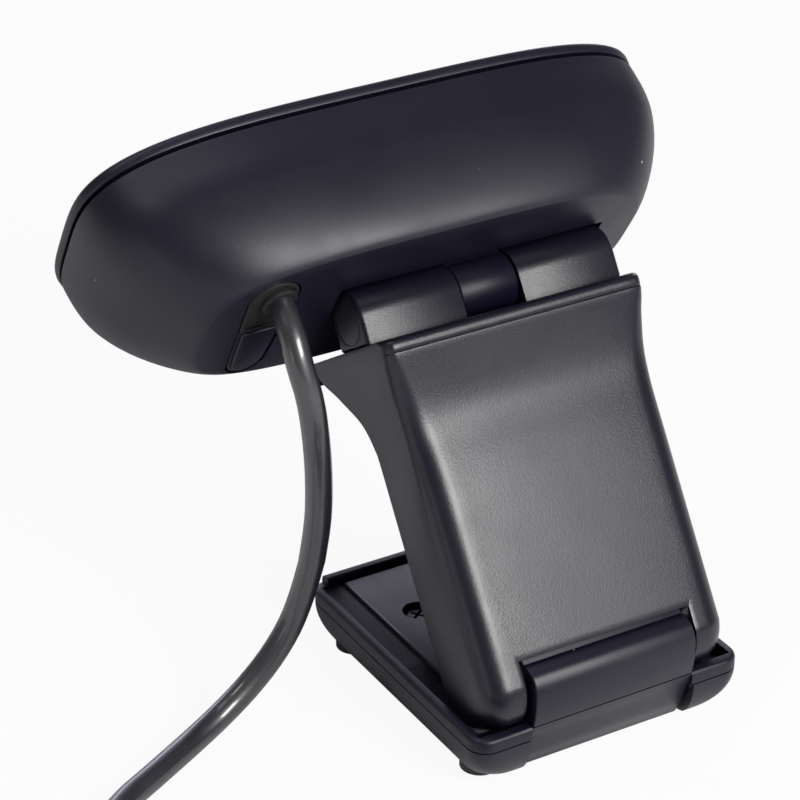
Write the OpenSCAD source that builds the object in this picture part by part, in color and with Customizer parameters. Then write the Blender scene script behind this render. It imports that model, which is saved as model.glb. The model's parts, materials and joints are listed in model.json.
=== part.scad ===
// Webcam on a folding monitor clip. The clip's hinged foot also stands it on a desk.
// Millimetres, +Z up, lens towards -Y. X = 0 is the middle of the camera head,
// Y = 0 the middle of the depth and Z = 0 the table.

/* [Camera head] */
// Width of the camera head
head_w = 92.6; // [86:0.2:98]
// Height of the camera head
head_h = 40; // [38:0.5:44]
// Depth from the seam to the flat rear face, at the tilt hinge's height
face_depth = 21.7; // [20.5:0.1:22.5]
// Depth at which the rear dome would close
dome_depth = 24; // [23.6:0.1:28]
// How far the rear dome draws in at each end
side_draw = 11.3; // [8:0.1:13]
// How far the rear dome draws in at top and bottom
top_draw = 5.7; // [4.5:0.1:6.5]
// How far the dome rises above the front's middle
dome_rise = 2.1; // [0.5:0.1:2.5]
// Slope of the flat rear face, in degrees
face_slope = 2.9; // [0:0.1:4]
// Depth of the front bezel
bezel_depth = 1.8; // [1.6:0.1:3]
// Gap that shows as the seam
seam_gap = 0.35; // [0.2:0.05:0.6]
// Wall of the head's housing
shell_wall = 1.6; // [1.2:0.1:2]
// Height of the front panel's crown in front of the bezel
panel_crown = 0.7; // [0.3:0.1:1.2]

/* [Lens and electronics] */
// Diameter of the lens trim ring
ring_d = 19; // [17:0.5:22]
// Clear opening of the lens trim ring
ring_opening = 12.4; // [10:0.2:14]
// Diameter of the lens barrel
barrel_front_d = 11; // [9:0.2:12]
// Side of the square lens holder
holder_w = 13; // [12:0.5:16]
// Width of the circuit board
board_w = 74; // [70:1:76]
// Height of the circuit board
board_h = 22; // [20:0.5:24]
// Thickness of the circuit board
board_t = 1.2; // [0.8:0.1:1.6]
// Distance of the circuit board behind the seam
board_set = 9; // [8:0.5:10]
// Distance of each microphone from the lens
mic_x = 33; // [28:0.5:34]
// Distance of each status light from the lens
light_x = 15; // [13:0.5:20]
// Number of sound slots in front of each microphone
mic_slots = 5; // [3:1:7]

/* [Tilt hinge] */
// Drop of the lens below the arm's direction at rest, in degrees
head_tilt = 26.6; // [0:0.1:26.6]
// Distance of the tilt axis behind the flat rear face
axis_gap = 3; // [2.8:0.1:3.4]
// Height of the tilt axis over the middle of the front
axis_rise = 2.1; // [0:0.1:3]
// Height of the tilt axis over the plate
tilt_rise = 4.1; // [4:0.1:5]
// Distance of the tilt axis in front of the arm's rear face
tilt_inset = 9; // [8.5:0.1:10]
// Radius of the clip's hinge barrels
barrel_r = 4.5; // [4.1:0.1:4.6]
// How far the barrels' ends stand inside the plate's sides
barrel_inset = 0.1; // [0:0.05:1]
// Width of the head's hinge tongue
tongue_w = 9.3; // [7:0.1:12]
// Diameter of the tilt pin
tilt_pin_d = 2.6; // [2:0.1:3.2]
// Gap at each side of the tongue
tongue_gap = 0.25; // [0.1:0.05:0.5]
// Gap between the barrels and the head's hinge pocket
pocket_gap = 0.5; // [0.3:0.05:0.7]

/* [Clip] */
// Sideways place of the clip from the middle of the head
clip_x = -7.4; // [-12:0.1:8]
// Lean of the arm from upright at rest, in degrees
arm_lean = 33.1; // [26:0.1:40]
// Distance from the foot hinge to the top of the plate
arm_len = 49.6; // [48:0.1:58]
// Width of the plate at the top of the arm
plate_w = 43; // [42:0.2:48]
// How far the plate stands out beyond each side of the arm
side_flare = 1.3; // [0.6:0.1:1.8]
// Wall of the arm's sides
arm_wall = 1.6; // [1.4:0.1:2]
// Rounding of the arm's rear edges
arm_round = 4; // [2:0.1:4.4]
// Depth of the arm's sides
arm_deep = 13.6; // [12.6:0.1:14.6]
// Distance of the arm's rear face behind the foot hinge
arm_back = 6.9; // [6.6:0.1:7.4]
// Reach of the plate from the arm's rear face
plate_reach = 26.8; // [25.6:0.1:26.9]
// Thickness of the plate
plate_t = 2.2; // [1.8:0.1:2.6]
// Height of the lip under the plate's front edge
lip_h = 1.1; // [0.6:0.1:1.6]
// Thickness of the arm's rear cover
cover_t = 1.6; // [1.2:0.1:2]
// How far the rubber grip pads stand proud of the arm's edges
pad_proud = 0.3; // [0.2:0.05:0.5]

/* [Foot] */
// Length of the foot
foot_len = 48.9; // [47:0.1:50.4]
// Height of the foot's rim over the table
foot_h = 9; // [8.6:0.1:10]
// Height of the belly over the table
belly_z = 0.3; // [0.2:0.1:1]
// Height of the parting line over the table
parting_z = 6.9; // [6.7:0.1:7.4]
// Thickness of the foot's rim beside the arm
rim_t = 1.3; // [0.9:0.05:1.6]
// Gap between the arm's sides and the foot's rim
side_gap = 1.1; // [0.4:0.1:1.3]
// Rounding of the foot's corners
foot_corner = 3; // [2:0.1:4]
// Height of the foot's raised middle over its rim
plateau_h = 0.6; // [0.4:0.1:1.2]
// Height of the front wall over the raised middle
front_wall_h = 0.6; // [0.3:0.1:1.1]
// Distance of the foot hinge from the foot's rear edge
hinge_inset = 7.6; // [7.5:0.1:8.4]
// Height of the foot hinge over the rim
hinge_rise = 4.9; // [4.7:0.1:5.4]
// Width of each of the arm's lobes beside the foot's knuckle
lobe_w = 5.8; // [4.8:0.1:8]
// Radius of the knuckle's barrel inside the arm
knuckle_r = 5.8; // [5.2:0.1:5.9]
// Diameter of the foot hinge's pin
foot_pin_d = 2.4; // [2:0.1:3]
// Diameter of the rubber feet
pad_d = 4.1; // [3.6:0.1:5]
// Diameter of the tripod thread's bore
thread_d = 5.2; // [5:0.1:5.6]
// Length of the tripod thread
thread_l = 5.4; // [4.6:0.1:5.5]

/* [Cable] */
// Diameter of the cable
cord_d = 3.9; // [3.4:0.1:4.2]
// Turns of the coil beside each other
coil_columns = 5; // [3:1:6]
// Turns of the coil on each other
coil_layers = 2; // [1:1:3]
// Middle diameter of the coil
coil_mean_d = 45; // [39:0.5:47]
// Width of the plug's grip
grip_w = 15.6; // [14:0.2:18]
// Thickness of the plug's grip
grip_t = 8; // [7:0.1:9]
// Length of the plug's grip
grip_l = 27; // [22:1:32]

/* [Hidden] */
$fn = 48;

satin = [0.17, 0.16, 0.2];
gloss = [0.08, 0.08, 0.1];
grain = [0.24, 0.23, 0.26];
rubber = [0.12, 0.12, 0.13];
steel = [0.66, 0.67, 0.69];
brass = [0.72, 0.58, 0.3];
green = [0.1, 0.3, 0.2];

// General clearances
fit = 0.1;
run_fit = 0.05;
edge = 0.8;
// Points round the housing's outlines, outside and inside
outer_n = 56;
inner_n = 40;
// Squareness of the housing's outline and fullness of its dome
corner_power = 3.55;
dome_power = 1.135;

// Places that the parts share
foot_y = 35.95;
arm_w = plate_w - 2 * side_flare;
barrel_span = plate_w - 2 * barrel_inset;
hinge_z = foot_h + hinge_rise;
hinge_y = foot_y - hinge_inset;
axis_y = arm_back - tilt_inset;
axis_z = arm_len + tilt_rise;
head_pitch = 90 - arm_lean - head_tilt;
seam_y = -(face_depth + axis_gap);
mid_z = -axis_rise;
pocket_r = barrel_r + pocket_gap;
pocket_half = barrel_span / 2 + pocket_gap;
tongue_r = barrel_r - 0.2;
lobe_r = max(arm_back, arm_deep - arm_back) + 0.4;
lobe_gap = 0.4;
knuckle_gap = 0.9;
notch_half = arm_w / 2 - lobe_w;
knuckle_w = 2 * (notch_half - knuckle_gap);
notch_z = 1.5;
arm_inner = arm_w / 2 - arm_wall;
floor_y = arm_back - 9.8;
floor_t = 1.5;
foot_w = arm_w + 2 * (side_gap + rim_t);
groove_out = arm_w / 2 + side_gap;
plateau_half = arm_inner - lobe_gap;
plateau_y = [-foot_len + 3.1, -hinge_inset - 7];
front_gap = 1;
strip_z = foot_h - 0.6;
groove_z = hinge_z - lobe_r - lobe_gap;
block_z = groove_z - 1.2;
lip_y = arm_back - plate_reach;

// Signed power, for superellipses
function spow(v, p) = sign(v) * pow(abs(v), p);
// Turn of a point about the X direction
function turn_x(p, a) = [p.x, p.y * cos(a) - p.z * sin(a), p.y * sin(a) + p.z * cos(a)];
function unit(v) = v / norm(v);
// Fullness of the dome at a depth: 1 at the seam and 0 where it closes
function dome(d) = pow(1 - pow(min(max(d, 0), dome_depth) / dome_depth, 2), dome_power);
// One outline of the head at a depth behind the seam, drawn in by an inset
function head_ring(depth, inset, n) =
  let (g = dome(depth), hw = head_w / 2 - side_draw * (1 - g) - inset)
  let (hh = head_h / 2 - top_draw * (1 - g) - inset, up = mid_z + dome_rise * (1 - g))
  [for (i = [0:n - 1]) let (a = 360 * i / n)
    [hw * spow(cos(a), 2 / corner_power), seam_y + depth, up + hh * spow(sin(a), 2 / corner_power)]];
// A smooth curve through hand-set points
function blend(p0, p1, p2, p3, t) = 0.5 * (2 * p1 + (p2 - p0) * t
  + (2 * p0 - 5 * p1 + 4 * p2 - p3) * t * t + (3 * p1 - p0 - 3 * p2 + p3) * t * t * t);
function smooth(p, steps) = concat([for (i = [0:len(p) - 2], k = [0:steps - 1])
  blend(p[max(i - 1, 0)], p[i], p[i + 1], p[min(i + 2, len(p) - 1)], k / steps)], [p[len(p) - 1]]);
function arc(r, from, to, n) = [for (i = [0:n]) let (a = from + (to - from) * i / n)
  [r * cos(a), r * sin(a)]];
// An outline of the foot: a rectangle with round corners, rear edge at y = 0
function foot_ring(inset, corner, z) = [for (q = [0:3], i = [0:6]) let (a = 90 * q + 15 * i)
  [(q == 0 || q == 3 ? 1 : -1) * (foot_w / 2 - inset - corner) + corner * cos(a),
   -foot_len / 2 + (q < 2 ? 1 : -1) * (foot_len / 2 - inset - corner) + corner * sin(a), z]];

// A solid through rings of equal length, each ring drawn the same way round
module loft(rings) {
  n = len(rings[0]);
  m = len(rings);
  walls = [for (k = [0:m - 2], i = [0:n - 1]) let (j = (i + 1) % n, a = k * n, b = a + n)
    each [[a + i, a + j, b + j], [a + i, b + j, b + i]]];
  front = [for (i = [n - 1:-1:0]) i];
  back = [for (i = [0:n - 1]) (m - 1) * n + i];
  polyhedron([for (r = rings) each r], concat([front], walls, [back]));
}
// An extrusion along X of an outline drawn in Y and Z
module along_x(length) {
  rotate([90, 0, 90]) linear_extrude(length, center = true) children();
}
module rod(d, length) {
  rotate([0, 90, 0]) cylinder(d = d, h = length, center = true);
}
// A round post along Y from y0 to y1
module post(d, y0, y1) {
  translate([0, y0, 0]) rotate([-90, 0, 0]) cylinder(d = d, h = y1 - y0);
}
module block(x0, x1, y0, y1, z0, z1) {
  translate([x0, y0, z0]) cube([x1 - x0, y1 - y0, z1 - z0]);
}
// A screw along -Z with its head's top at z = 0
module screw(head_d, head_h, shank_d, length) {
  difference() {
    union() {
      translate([0, 0, -head_h]) cylinder(d = head_d, h = head_h);
      translate([0, 0, -length]) cylinder(d = shank_d, h = length);
    }
    for (a = [0, 90]) rotate([0, 0, a]) block(-head_d * 0.32, head_d * 0.32, -0.25, 0.25, -0.6, 1);
  }
}
module at_foot() { translate([clip_x, foot_y, 0]) children(); }
module at_hinge() { translate([clip_x, hinge_y, hinge_z]) children(); }
module at_arm() { at_hinge() rotate([arm_lean, 0, 0]) children(); }
module at_tilt() { at_arm() translate([0, axis_y, axis_z]) children(); }
module at_head() { at_tilt() rotate([head_tilt - 90, 0, 0]) translate([-clip_x, 0, 0]) children(); }
// The flat rear face: its plane is y = 0 and the housing lies at y < 0
module at_face() { translate([0, -axis_gap, 0]) rotate([-face_slope, 0, 0]) children(); }
module at_lens() { translate([0, seam_y, mid_z]) children(); }

// ---- Camera head ----
// The domed body from one depth behind the seam to another, drawn in by an inset
module head_body(inset, from, to, n) {
  steps = 12;
  loft([for (k = [0:steps]) head_ring(from + (to - from) * sin(90 * k / steps), inset, n)]);
}
// A slab with the front's outline, from y0 to y1 in front of the seam
module head_slab(inset, y0, y1, n) {
  loft([for (y = [y0, y1]) [for (p = head_ring(0, inset, n)) [p.x, seam_y + y, p.z]]]);
}
gland_x = 26;
gland_top = [8.8, 4.2];
gland_low = [-7.5, 3.2];
gland_split = 1.4;
// The gland's flange behind the rear face
flange_grow = 0.9;
flange_t = 1.2;
cord_hole = [25, 8.2];
// The gland's outline on the rear face: a drop, wide at the cable
module gland_outline(grow, y0, y1) {
  translate([gland_x, y1, mid_z]) rotate([90, 0, 0]) linear_extrude(y1 - y0) hull() {
    translate([0, gland_top[0]]) circle(gland_top[1] + grow, $fn = 32);
    translate([0, gland_low[0]]) circle(gland_low[1] + grow, $fn = 32);
  }
}
board_posts = [for (x = [-30, 30], z = [-8, 8]) [x, 0, mid_z + z]];
board_y = seam_y + board_set;
bracket_w = 20;
bracket_t = 1.6;
neck_h = 6;
bracket_hole = [7.4, 4.2];
pocket_deep = pocket_r + shell_wall;
module rear_housing() {
  color(satin) at_head() difference() {
    head_body(0, seam_gap, dome_depth * 0.985, outer_n);
    difference() {
      head_body(shell_wall, -1, dome_depth * 0.985 - shell_wall, inner_n);
      at_face() block(-head_w, head_w, -shell_wall, 30, -head_h, head_h);
      translate([clip_x, 0, 0]) block(-pocket_half - shell_wall, pocket_half + shell_wall,
        -pocket_deep, 10, -pocket_deep, pocket_deep);
      for (p = board_posts) translate(p) post(4.4, board_y + board_t, 0);
    }
    at_face() block(-head_w, head_w, 0, 30, -head_h, head_h);
    translate([clip_x, 0, 0]) rod(2 * pocket_r, 2 * pocket_half);
    translate([clip_x, 0, 0]) block(-tongue_w / 2 - fit, tongue_w / 2 + fit, -20, 0,
      -neck_h / 2 - fit, neck_h / 2 + fit);
    at_face() gland_outline(0, -5, 5);
    at_face() gland_outline(flange_grow + fit, -shell_wall - flange_t - fit, -shell_wall);
    for (p = board_posts) translate(p) post(1.8, board_y, board_y + board_t + 4);
    for (s = [-1, 1]) translate([clip_x + bracket_hole[0] * s, 0, bracket_hole[1] * s])
      post(1.6, -pocket_deep - 1, -pocket_deep + 2.2);
  }
}
panel_seat = 0.6;
bezel_rim = 1.5;
module front_bezel() {
  color(satin) at_head() difference() {
    union() {
      loft([for (k = [[-bezel_depth, 0.4], [-bezel_depth * 0.6, 0.08], [0, 0]])
        [for (p = head_ring(0, k[1], outer_n)) [p.x, seam_y + k[0], p.z]]]);
      head_slab(shell_wall + fit, 0, 2.5, inner_n);
    }
    head_slab(bezel_rim, -bezel_depth - 1, -panel_seat, inner_n);
    head_slab(3, -2, 3, inner_n);
  }
}
module front_panel() {
  panel_y = -bezel_depth - panel_crown;
  color(gloss) at_head() difference() {
    loft([for (k = [[panel_y, 1.4], [panel_y * 0.9, 0.5], [-bezel_depth, 0], [-panel_seat, 0]])
      [for (p = head_ring(0, bezel_rim + fit + k[1], inner_n)) [p.x, seam_y + k[0], p.z]]]);
    at_lens() post(ring_d - 2, -10, 10);
    for (s = [-1, 1]) at_lens() translate([s * light_x, 0, 0]) post(2, -10, 10);
    for (s = [-1, 1], k = [0:mic_slots - 1]) at_lens()
      translate([s * mic_x + 1.6 * (k - (mic_slots - 1) / 2), 0, 0]) {
        block(-0.35, 0.35, -10, 10, -3, 3);
        for (z = [-3, 3]) translate([0, 0, z]) post(0.7, -10, 10);
      }
  }
}
lens_front = -bezel_depth - panel_crown;
module turned(points) {
  rotate([90, 0, 0]) rotate_extrude() polygon(points);
}
module lens_ring() {
  out = ring_d / 2;
  inner = ring_opening / 2;
  lip = -lens_front;
  color(gloss) at_head() at_lens() turned([[inner, lip], [out, lip], [out - 0.3, lip + 0.5],
    [out - 0.9, lip + 0.8], [inner + 0.8, lip + 0.5], [inner, lip + 0.2]]);
  color(gloss) at_head() at_lens() turned([[out - 1.9, panel_seat], [out - 1 - run_fit, panel_seat],
    [out - 1 - run_fit, lip], [out - 1.9, lip]]);
}
module lens_glass() {
  color([0.2, 0.22, 0.26]) at_head() at_lens() post(ring_d - 3.9, lens_front, lens_front + 1);
}
module lens_barrel() {
  color(gloss) at_head() at_lens() difference() {
    union() {
      post(barrel_front_d, lens_front + 1.2, board_set - 6);
      post(9.6, board_set - 6.2, board_set - 1.6);
    }
    post(6, lens_front, lens_front + 2.4);
    translate([0, lens_front + 2.4, 0]) scale([1, 0.35, 1]) sphere(3);
  }
}
module lens_holder() {
  h = holder_w / 2;
  color(satin) at_head() at_lens() difference() {
    block(-h, h, board_set - 5.8, board_set, -h, h);
    post(9.6 + 2 * run_fit, board_set - 7, board_set - 1.2);
    block(-4.2, 4.2, board_set - 1.3, board_set + 1, -4.2, 4.2);
  }
}
module image_sensor() {
  color([0.2, 0.2, 0.3]) at_head() at_lens() block(-3.6, 3.6, board_set - 0.9, board_set, -3.2, 3.2);
}
module main_board() {
  color(green) at_head() difference() {
    translate([0, 0, mid_z]) block(-board_w / 2, board_w / 2, board_y, board_y + board_t,
      -board_h / 2, board_h / 2);
    for (p = board_posts) translate(p) post(2.2, board_y - 1, board_y + 2);
    for (s = [-1, 1], z = [-1, 1]) translate([s * board_w / 2, 0, mid_z + z * board_h / 2])
      post(3, board_y - 1, board_y + 2);
  }
}
// Chips on the board's back: middle in x and z, size in x and z, height
chips = [[13, 0, 10, 10, 1.2], [-1, 0, 6, 6, 1], [23.2, -2.2, 3.5, 3.5, 0.8]];
capacitors = [for (k = [0:4]) [-21.3 + 2.4 * k, 8.4, 1.4, 0.8, 0.6]];
cable_socket = [23.5, 5.8, 7, 5.5, 3];
module chip(c) {
  back = board_y + board_t;
  translate([0, 0, mid_z]) block(c[0] - c[2] / 2, c[0] + c[2] / 2, back, back + c[4],
    c[1] - c[3] / 2, c[1] + c[3] / 2);
}
module board_chips() {
  color([0.15, 0.15, 0.16]) at_head() for (c = concat(chips, capacitors)) chip(c);
  color([0.85, 0.84, 0.8]) at_head() chip(cable_socket);
}
module board_screws() {
  color(steel) at_head() for (p = board_posts) translate([p.x, board_y, p.z]) rotate([90, 0, 0])
    translate([0, 0, 1.2]) screw(3.6, 1.2, 1.8, 5.6);
}
module mic_boots() {
  color(rubber) at_head() at_lens() for (s = [-1, 1]) translate([s * mic_x, 0, 0]) difference() {
    post(6, -panel_seat, board_set);
    post(4.2, board_set - 2, board_set + 1);
    post(2, -2, board_set);
  }
}
module microphones() {
  color(steel) at_head() at_lens() for (s = [-1, 1]) translate([s * mic_x, 0, 0])
    post(4.2, board_set - 1.6, board_set);
}
module light_guides() {
  color([0.75, 0.78, 0.8]) at_head() at_lens() for (s = [-1, 1]) translate([s * light_x, 0, 0]) {
    post(2, lens_front, -panel_seat);
    post(3, -panel_seat, board_set - 0.8);
  }
}
module status_lights() {
  color([0.9, 0.9, 0.85]) at_head() at_lens() for (s = [-1, 1])
    block(s * light_x - 0.8, s * light_x + 0.8, board_set - 0.8, board_set, -0.4, 0.4);
}
collar_h = 0.6;
module cable_gland() {
  color(rubber) at_head() at_face() difference() {
    union() {
      intersection() {
        union() {
          gland_outline(-0.25, -shell_wall, 0.15);
          gland_outline(flange_grow, -shell_wall - flange_t, -shell_wall);
        }
        block(0, head_w, -10, 10, mid_z + gland_split + 0.1, head_h);
      }
      translate([cord_hole[0], 0, mid_z + cord_hole[1]]) post(cord_d + 1.6, 0, collar_h);
    }
    translate([cord_hole[0], 0, mid_z + cord_hole[1]]) post(cord_d - 0.4, -6, collar_h - 1);
  }
}
module gland_cover() {
  color(satin) at_head() at_face() intersection() {
    union() {
      gland_outline(-0.25, -shell_wall, -0.1);
      gland_outline(-0.9, -0.2, 0.2);
      gland_outline(flange_grow, -shell_wall - flange_t, -shell_wall);
    }
    block(0, head_w, -10, 10, -head_h, mid_z + gland_split - 0.1);
  }
}

// ---- Tilt hinge ----
module tilt_bracket() {
  color(satin) at_head() translate([clip_x, 0, 0]) difference() {
    union() {
      rod(2 * tongue_r, tongue_w);
      block(-tongue_w / 2, tongue_w / 2, -pocket_deep, 0, -neck_h / 2, neck_h / 2);
      block(-bracket_w / 2, bracket_w / 2, -pocket_deep - bracket_t, -pocket_deep,
        -pocket_deep + 0.6, pocket_deep - 0.6);
    }
    rod(tilt_pin_d + 2 * run_fit, 2 * tongue_w);
    for (s = [-1, 1]) translate([bracket_hole[0] * s, 0, bracket_hole[1] * s]) post(1.8, -20, 0);
  }
}
module bracket_screws() {
  color(steel) at_head() for (s = [-1, 1])
    translate([clip_x + bracket_hole[0] * s, -pocket_deep - bracket_t - 1, bracket_hole[1] * s])
      rotate([90, 0, 0]) screw(3.2, 1, 1.6, 4.6);
}
cap_t = 0.7;
cap_d = 7;
pin_half = barrel_span / 2 - cap_t;
module tilt_pin() {
  color(steel) at_tilt() rod(tilt_pin_d, 2 * pin_half);
}
module pin_caps() {
  color(gloss) at_tilt() for (s = [-1, 1]) translate([s * (barrel_span / 2 - cap_t / 2), 0, 0])
    rod(cap_d, cap_t);
}
module hinge_barrels() {
  inner = tongue_w / 2 + tongue_gap;
  color(grain) at_tilt() difference() {
    union() {
      rod(2 * barrel_r, barrel_span);
      block(-barrel_span / 2, barrel_span / 2, -barrel_r, barrel_r, -tilt_rise, 0);
    }
    block(-inner, inner, -2 * barrel_r, 2 * barrel_r, -2 * barrel_r, 2 * barrel_r);
    block(-barrel_span, barrel_span, -2 * barrel_r, 2 * barrel_r, -2 * barrel_r, -tilt_rise);
    rod(tilt_pin_d, 2 * barrel_span);
    for (s = [-1, 1]) translate([s * barrel_span / 2, 0, 0]) rod(cap_d + 2 * run_fit, 2 * cap_t);
  }
}

// ---- Clip arm ----
// The concave curve from the arm's sides to the plate, and the floor's curve behind it
gusset = [for (p = [[22.6, -plate_t], [21.7, -3.4], [18.5, -6.4], [15, -10.6]])
  [arm_back - p[0], arm_len + p[1]]];
gusset_end = [arm_back - arm_deep, arm_len - 15.3];
floor_curve = [for (p = [[22.6, -plate_t], [19, -4], [14, -7.6], [11, -13.4]])
  [arm_back - p[0], arm_len + p[1]]];
floor_end = [floor_y, arm_len - 19.6];
module arm_side() {
  front = arm_deep - arm_back;
  polygon(concat([[arm_back, arm_len - edge], [arm_back - edge, arm_len]],
    [[lip_y + edge, arm_len], [lip_y, arm_len - edge], [lip_y, arm_len - plate_t - lip_h]],
    [[lip_y + 1.8, arm_len - plate_t - lip_h], [lip_y + 1.8, arm_len - plate_t]],
    smooth(concat(gusset, [gusset_end]), 4),
    arc(lobe_r, 180 + acos(front / lobe_r), 360 - acos(arm_back / lobe_r), 24)));
}
// Half the arm's width and the rounding of its rear edges, at heights above the foot hinge
arm_half = [[0, arm_w / 2], [arm_len - 15, arm_w / 2], [arm_len - 12, arm_w / 2 + 0.1],
  [arm_len - 9, arm_w / 2 + 0.3], [arm_len - 6.5, plate_w / 2 - 0.55],
  [arm_len - 4, plate_w / 2 - 0.15], [arm_len - 2.6, plate_w / 2], [arm_len + 1, plate_w / 2]];
edge_round = [[0, arm_round], [arm_len - 12, arm_round], [arm_len - 6.5, 0.7 * arm_round],
  [arm_len - 2.6, 0.4 * arm_round]];
skin_levels = concat([for (i = [len(arm_half) - 1:-1:0]) arm_half[i][0]],
  [for (a = [10:10:80]) -lobe_r * sin(a)], [-lobe_r * 0.999]);
// One outline of the arm at a height: straight sides and rounded rear edges that follow the lobes
function skin_ring(z) =
  let (w = lookup(z, arm_half), r = lookup(z, edge_round), n = 6)
  let (first = z < 0 ? asin(max(0, 1 - (lobe_r + z) / r)) : 0)
  let (corner = [for (k = [0:n]) let (t = first + (90 - first) * k / n, s = r * (1 - sin(t)))
    [w - r * (1 - cos(t)),
     min(arm_back - s, z < 0 ? sqrt(max(0.0001, pow(lobe_r - s, 2) - z * z)) : arm_back), z]])
  concat([[-corner[0].x, -plate_reach, z], [corner[0].x, -plate_reach, z]], corner,
    [for (k = [n:-1:0]) [-corner[k].x, corner[k].y, z]]);
// The arm's rear cover, on the flat between the rounded edges
module cover_outline(grow) {
  wide = arm_w / 2 - arm_round - 0.2;
  right = [for (z = [notch_z, arm_len - 3]) [wide + grow, z]];
  polygon(concat(right, [for (i = [len(right) - 1:-1:0]) [-right[i].x, right[i].y]]));
}
screw_spots = [for (s = [-1, 1]) [13 * s, 0, 13]];
module clip_frame() {
  color(satin) at_arm() difference() {
    intersection() {
      along_x(plate_w + 2) arm_side();
      loft([for (z = skin_levels) skin_ring(z)]);
    }
    translate([0, arm_back + 1, 0]) rotate([90, 0, 0]) linear_extrude(cover_t + 1)
      cover_outline(fit);
    block(-arm_inner, arm_inner, floor_y + floor_t, arm_back - cover_t + 0.1, 9, arm_len - 5);
    along_x(2 * arm_inner) polygon(concat([[lip_y - 10, arm_len - plate_t]],
      smooth(concat(floor_curve, [floor_end]), 4), [[floor_y, -20], [lip_y - 10, -20]]));
    block(-notch_half, notch_half, -20, 20, -20, notch_z);
    rod(2 * (knuckle_r + 0.45), 2 * notch_half);
    rod(foot_pin_d + 2 * run_fit, arm_w - 2.4);
    for (p = screw_spots) translate(p) post(2, -10, 10);
    translate([0, axis_y, axis_z]) rod(2 * (tongue_r + lobe_gap), tongue_w + 2 * tongue_gap);
    translate([0, arm_back - 0.3, arm_len - 1.2]) rod(1.8, plate_w + 2);
  }
}
module arm_cover() {
  inner_y = arm_back - cover_t;
  color(grain) at_arm() difference() {
    union() {
      translate([0, arm_back, 0]) rotate([90, 0, 0]) linear_extrude(cover_t) cover_outline(0);
      for (p = screw_spots) translate(p) post(4.4, floor_y + floor_t, inner_y);
    }
    rod(2 * (knuckle_r + 0.45), 2 * notch_half);
    for (p = screw_spots) translate(p) post(1.6, floor_y, inner_y - 1);
  }
}
module top_bead() {
  color(gloss) at_arm() translate([0, arm_back - 0.3, arm_len - 1.2]) difference() {
    rod(1.8, plate_w - 0.6);
    block(-plate_w, plate_w, -4, 4, 0.95, 4);
  }
}
pad_z = [20, arm_len - 20];
module arm_pad() {
  front = arm_back - arm_deep - pad_proud;
  color(rubber) at_arm() difference() {
    block(-arm_inner + 1.5, arm_inner - 1.5, front, floor_y, pad_z[0], pad_z[1]);
    for (z = [pad_z[0] + 2.4:2.4:pad_z[1] - 1.6])
      block(-arm_inner + 3, arm_inner - 3, front - 1, front + 0.6, z - 0.4, z + 0.4);
  }
}
module lip_pad() {
  face = smooth(concat(gusset, [gusset_end]), 4);
  back = smooth(concat(floor_curve, [floor_end]), 4);
  color(rubber) at_arm() along_x(2 * arm_inner - 2 * fit) polygon(concat(
    [for (i = [1:len(face) - 1]) face[i] + pad_proud * [-0.7, -0.7]],
    [for (i = [len(back) - 3:-1:1]) back[i]]));
}
module cover_screws() {
  color(steel) at_arm() for (p = screw_spots) translate([p.x, floor_y - 1, p.z])
    rotate([90, 0, 0]) screw(3.4, 1, 1.6, 6.6);
}

// ---- Foot ----
// Rear outline of the knuckle about the hinge axis, from the seam up and from the seam down
knuckle_back = [[7.6, -hinge_rise], [8, -3.2], [8.2, -1.6], [8.2, 0.4], [7.9, 1.8], [7.1, 3.1],
  [6.3, 3.5], [5.3, 3.7]];
knuckle_low = [[7.6, -hinge_rise], [7.2, -6], [6.5, -7.7], [5.5, -10.7], [4.4, -13]];
belly_in = 4;
screw_y = -33.5;
screw_x = 12.5;
nut_y = -25;
feet = [for (x = [-1, 1], y = [-6.8, -foot_len + 6.4]) [x * (foot_w / 2 - 4.5), y, 0]];
module knuckle_cut(gap) {
  block(-knuckle_w / 2 - gap, knuckle_w / 2 + gap, plateau_y[1] + 0.2, 10, -5, 30);
}
module lobe_cut() {
  for (s = [-1, 1]) translate([s * (notch_half + groove_out - knuckle_gap / 2) / 2, -hinge_inset,
    hinge_z]) rod(2 * (lobe_r + lobe_gap), groove_out - notch_half + knuckle_gap / 2);
}
module foot_cover() {
  color(satin) at_foot() difference() {
    union() {
      loft([foot_ring(0.25, foot_corner, foot_h), foot_ring(0, foot_corner, foot_h - 0.4),
        foot_ring(0, foot_corner, parting_z)]);
      loft([foot_ring(1.7 + fit, foot_corner, parting_z),
        foot_ring(1.7 + fit, foot_corner, block_z)]);
      plateau();
      front_wall();
    }
    for (s = [-1, 1]) translate([s * (plateau_half + groove_out) / 2, 0, 0])
      along_x(groove_out - plateau_half) polygon([[plateau_y[0] - front_gap, strip_z],
        [plateau_y[1] - 8, strip_z], [plateau_y[1] - 0.6, groove_z + 0.8], [-hinge_inset, groove_z],
        [-hinge_inset, 30], [plateau_y[0] - front_gap, 30]]);
    block(-plateau_half - 0.4, plateau_half + 0.4, plateau_y[0] - front_gap, plateau_y[0],
      foot_h - 1.2, 30);
    lobe_cut();
    knuckle_cut(fit);
    for (s = [-1, 1]) translate([s * screw_x, screw_y, 0]) {
      translate([0, 0, foot_h - 1]) cylinder(d = 4.4, h = 10);
      cylinder(d = 2.2, h = 20);
    }
    translate([0, nut_y, 0]) cylinder(d = 9.8, h = belly_z + 0.3 + thread_l);
  }
}
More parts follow.
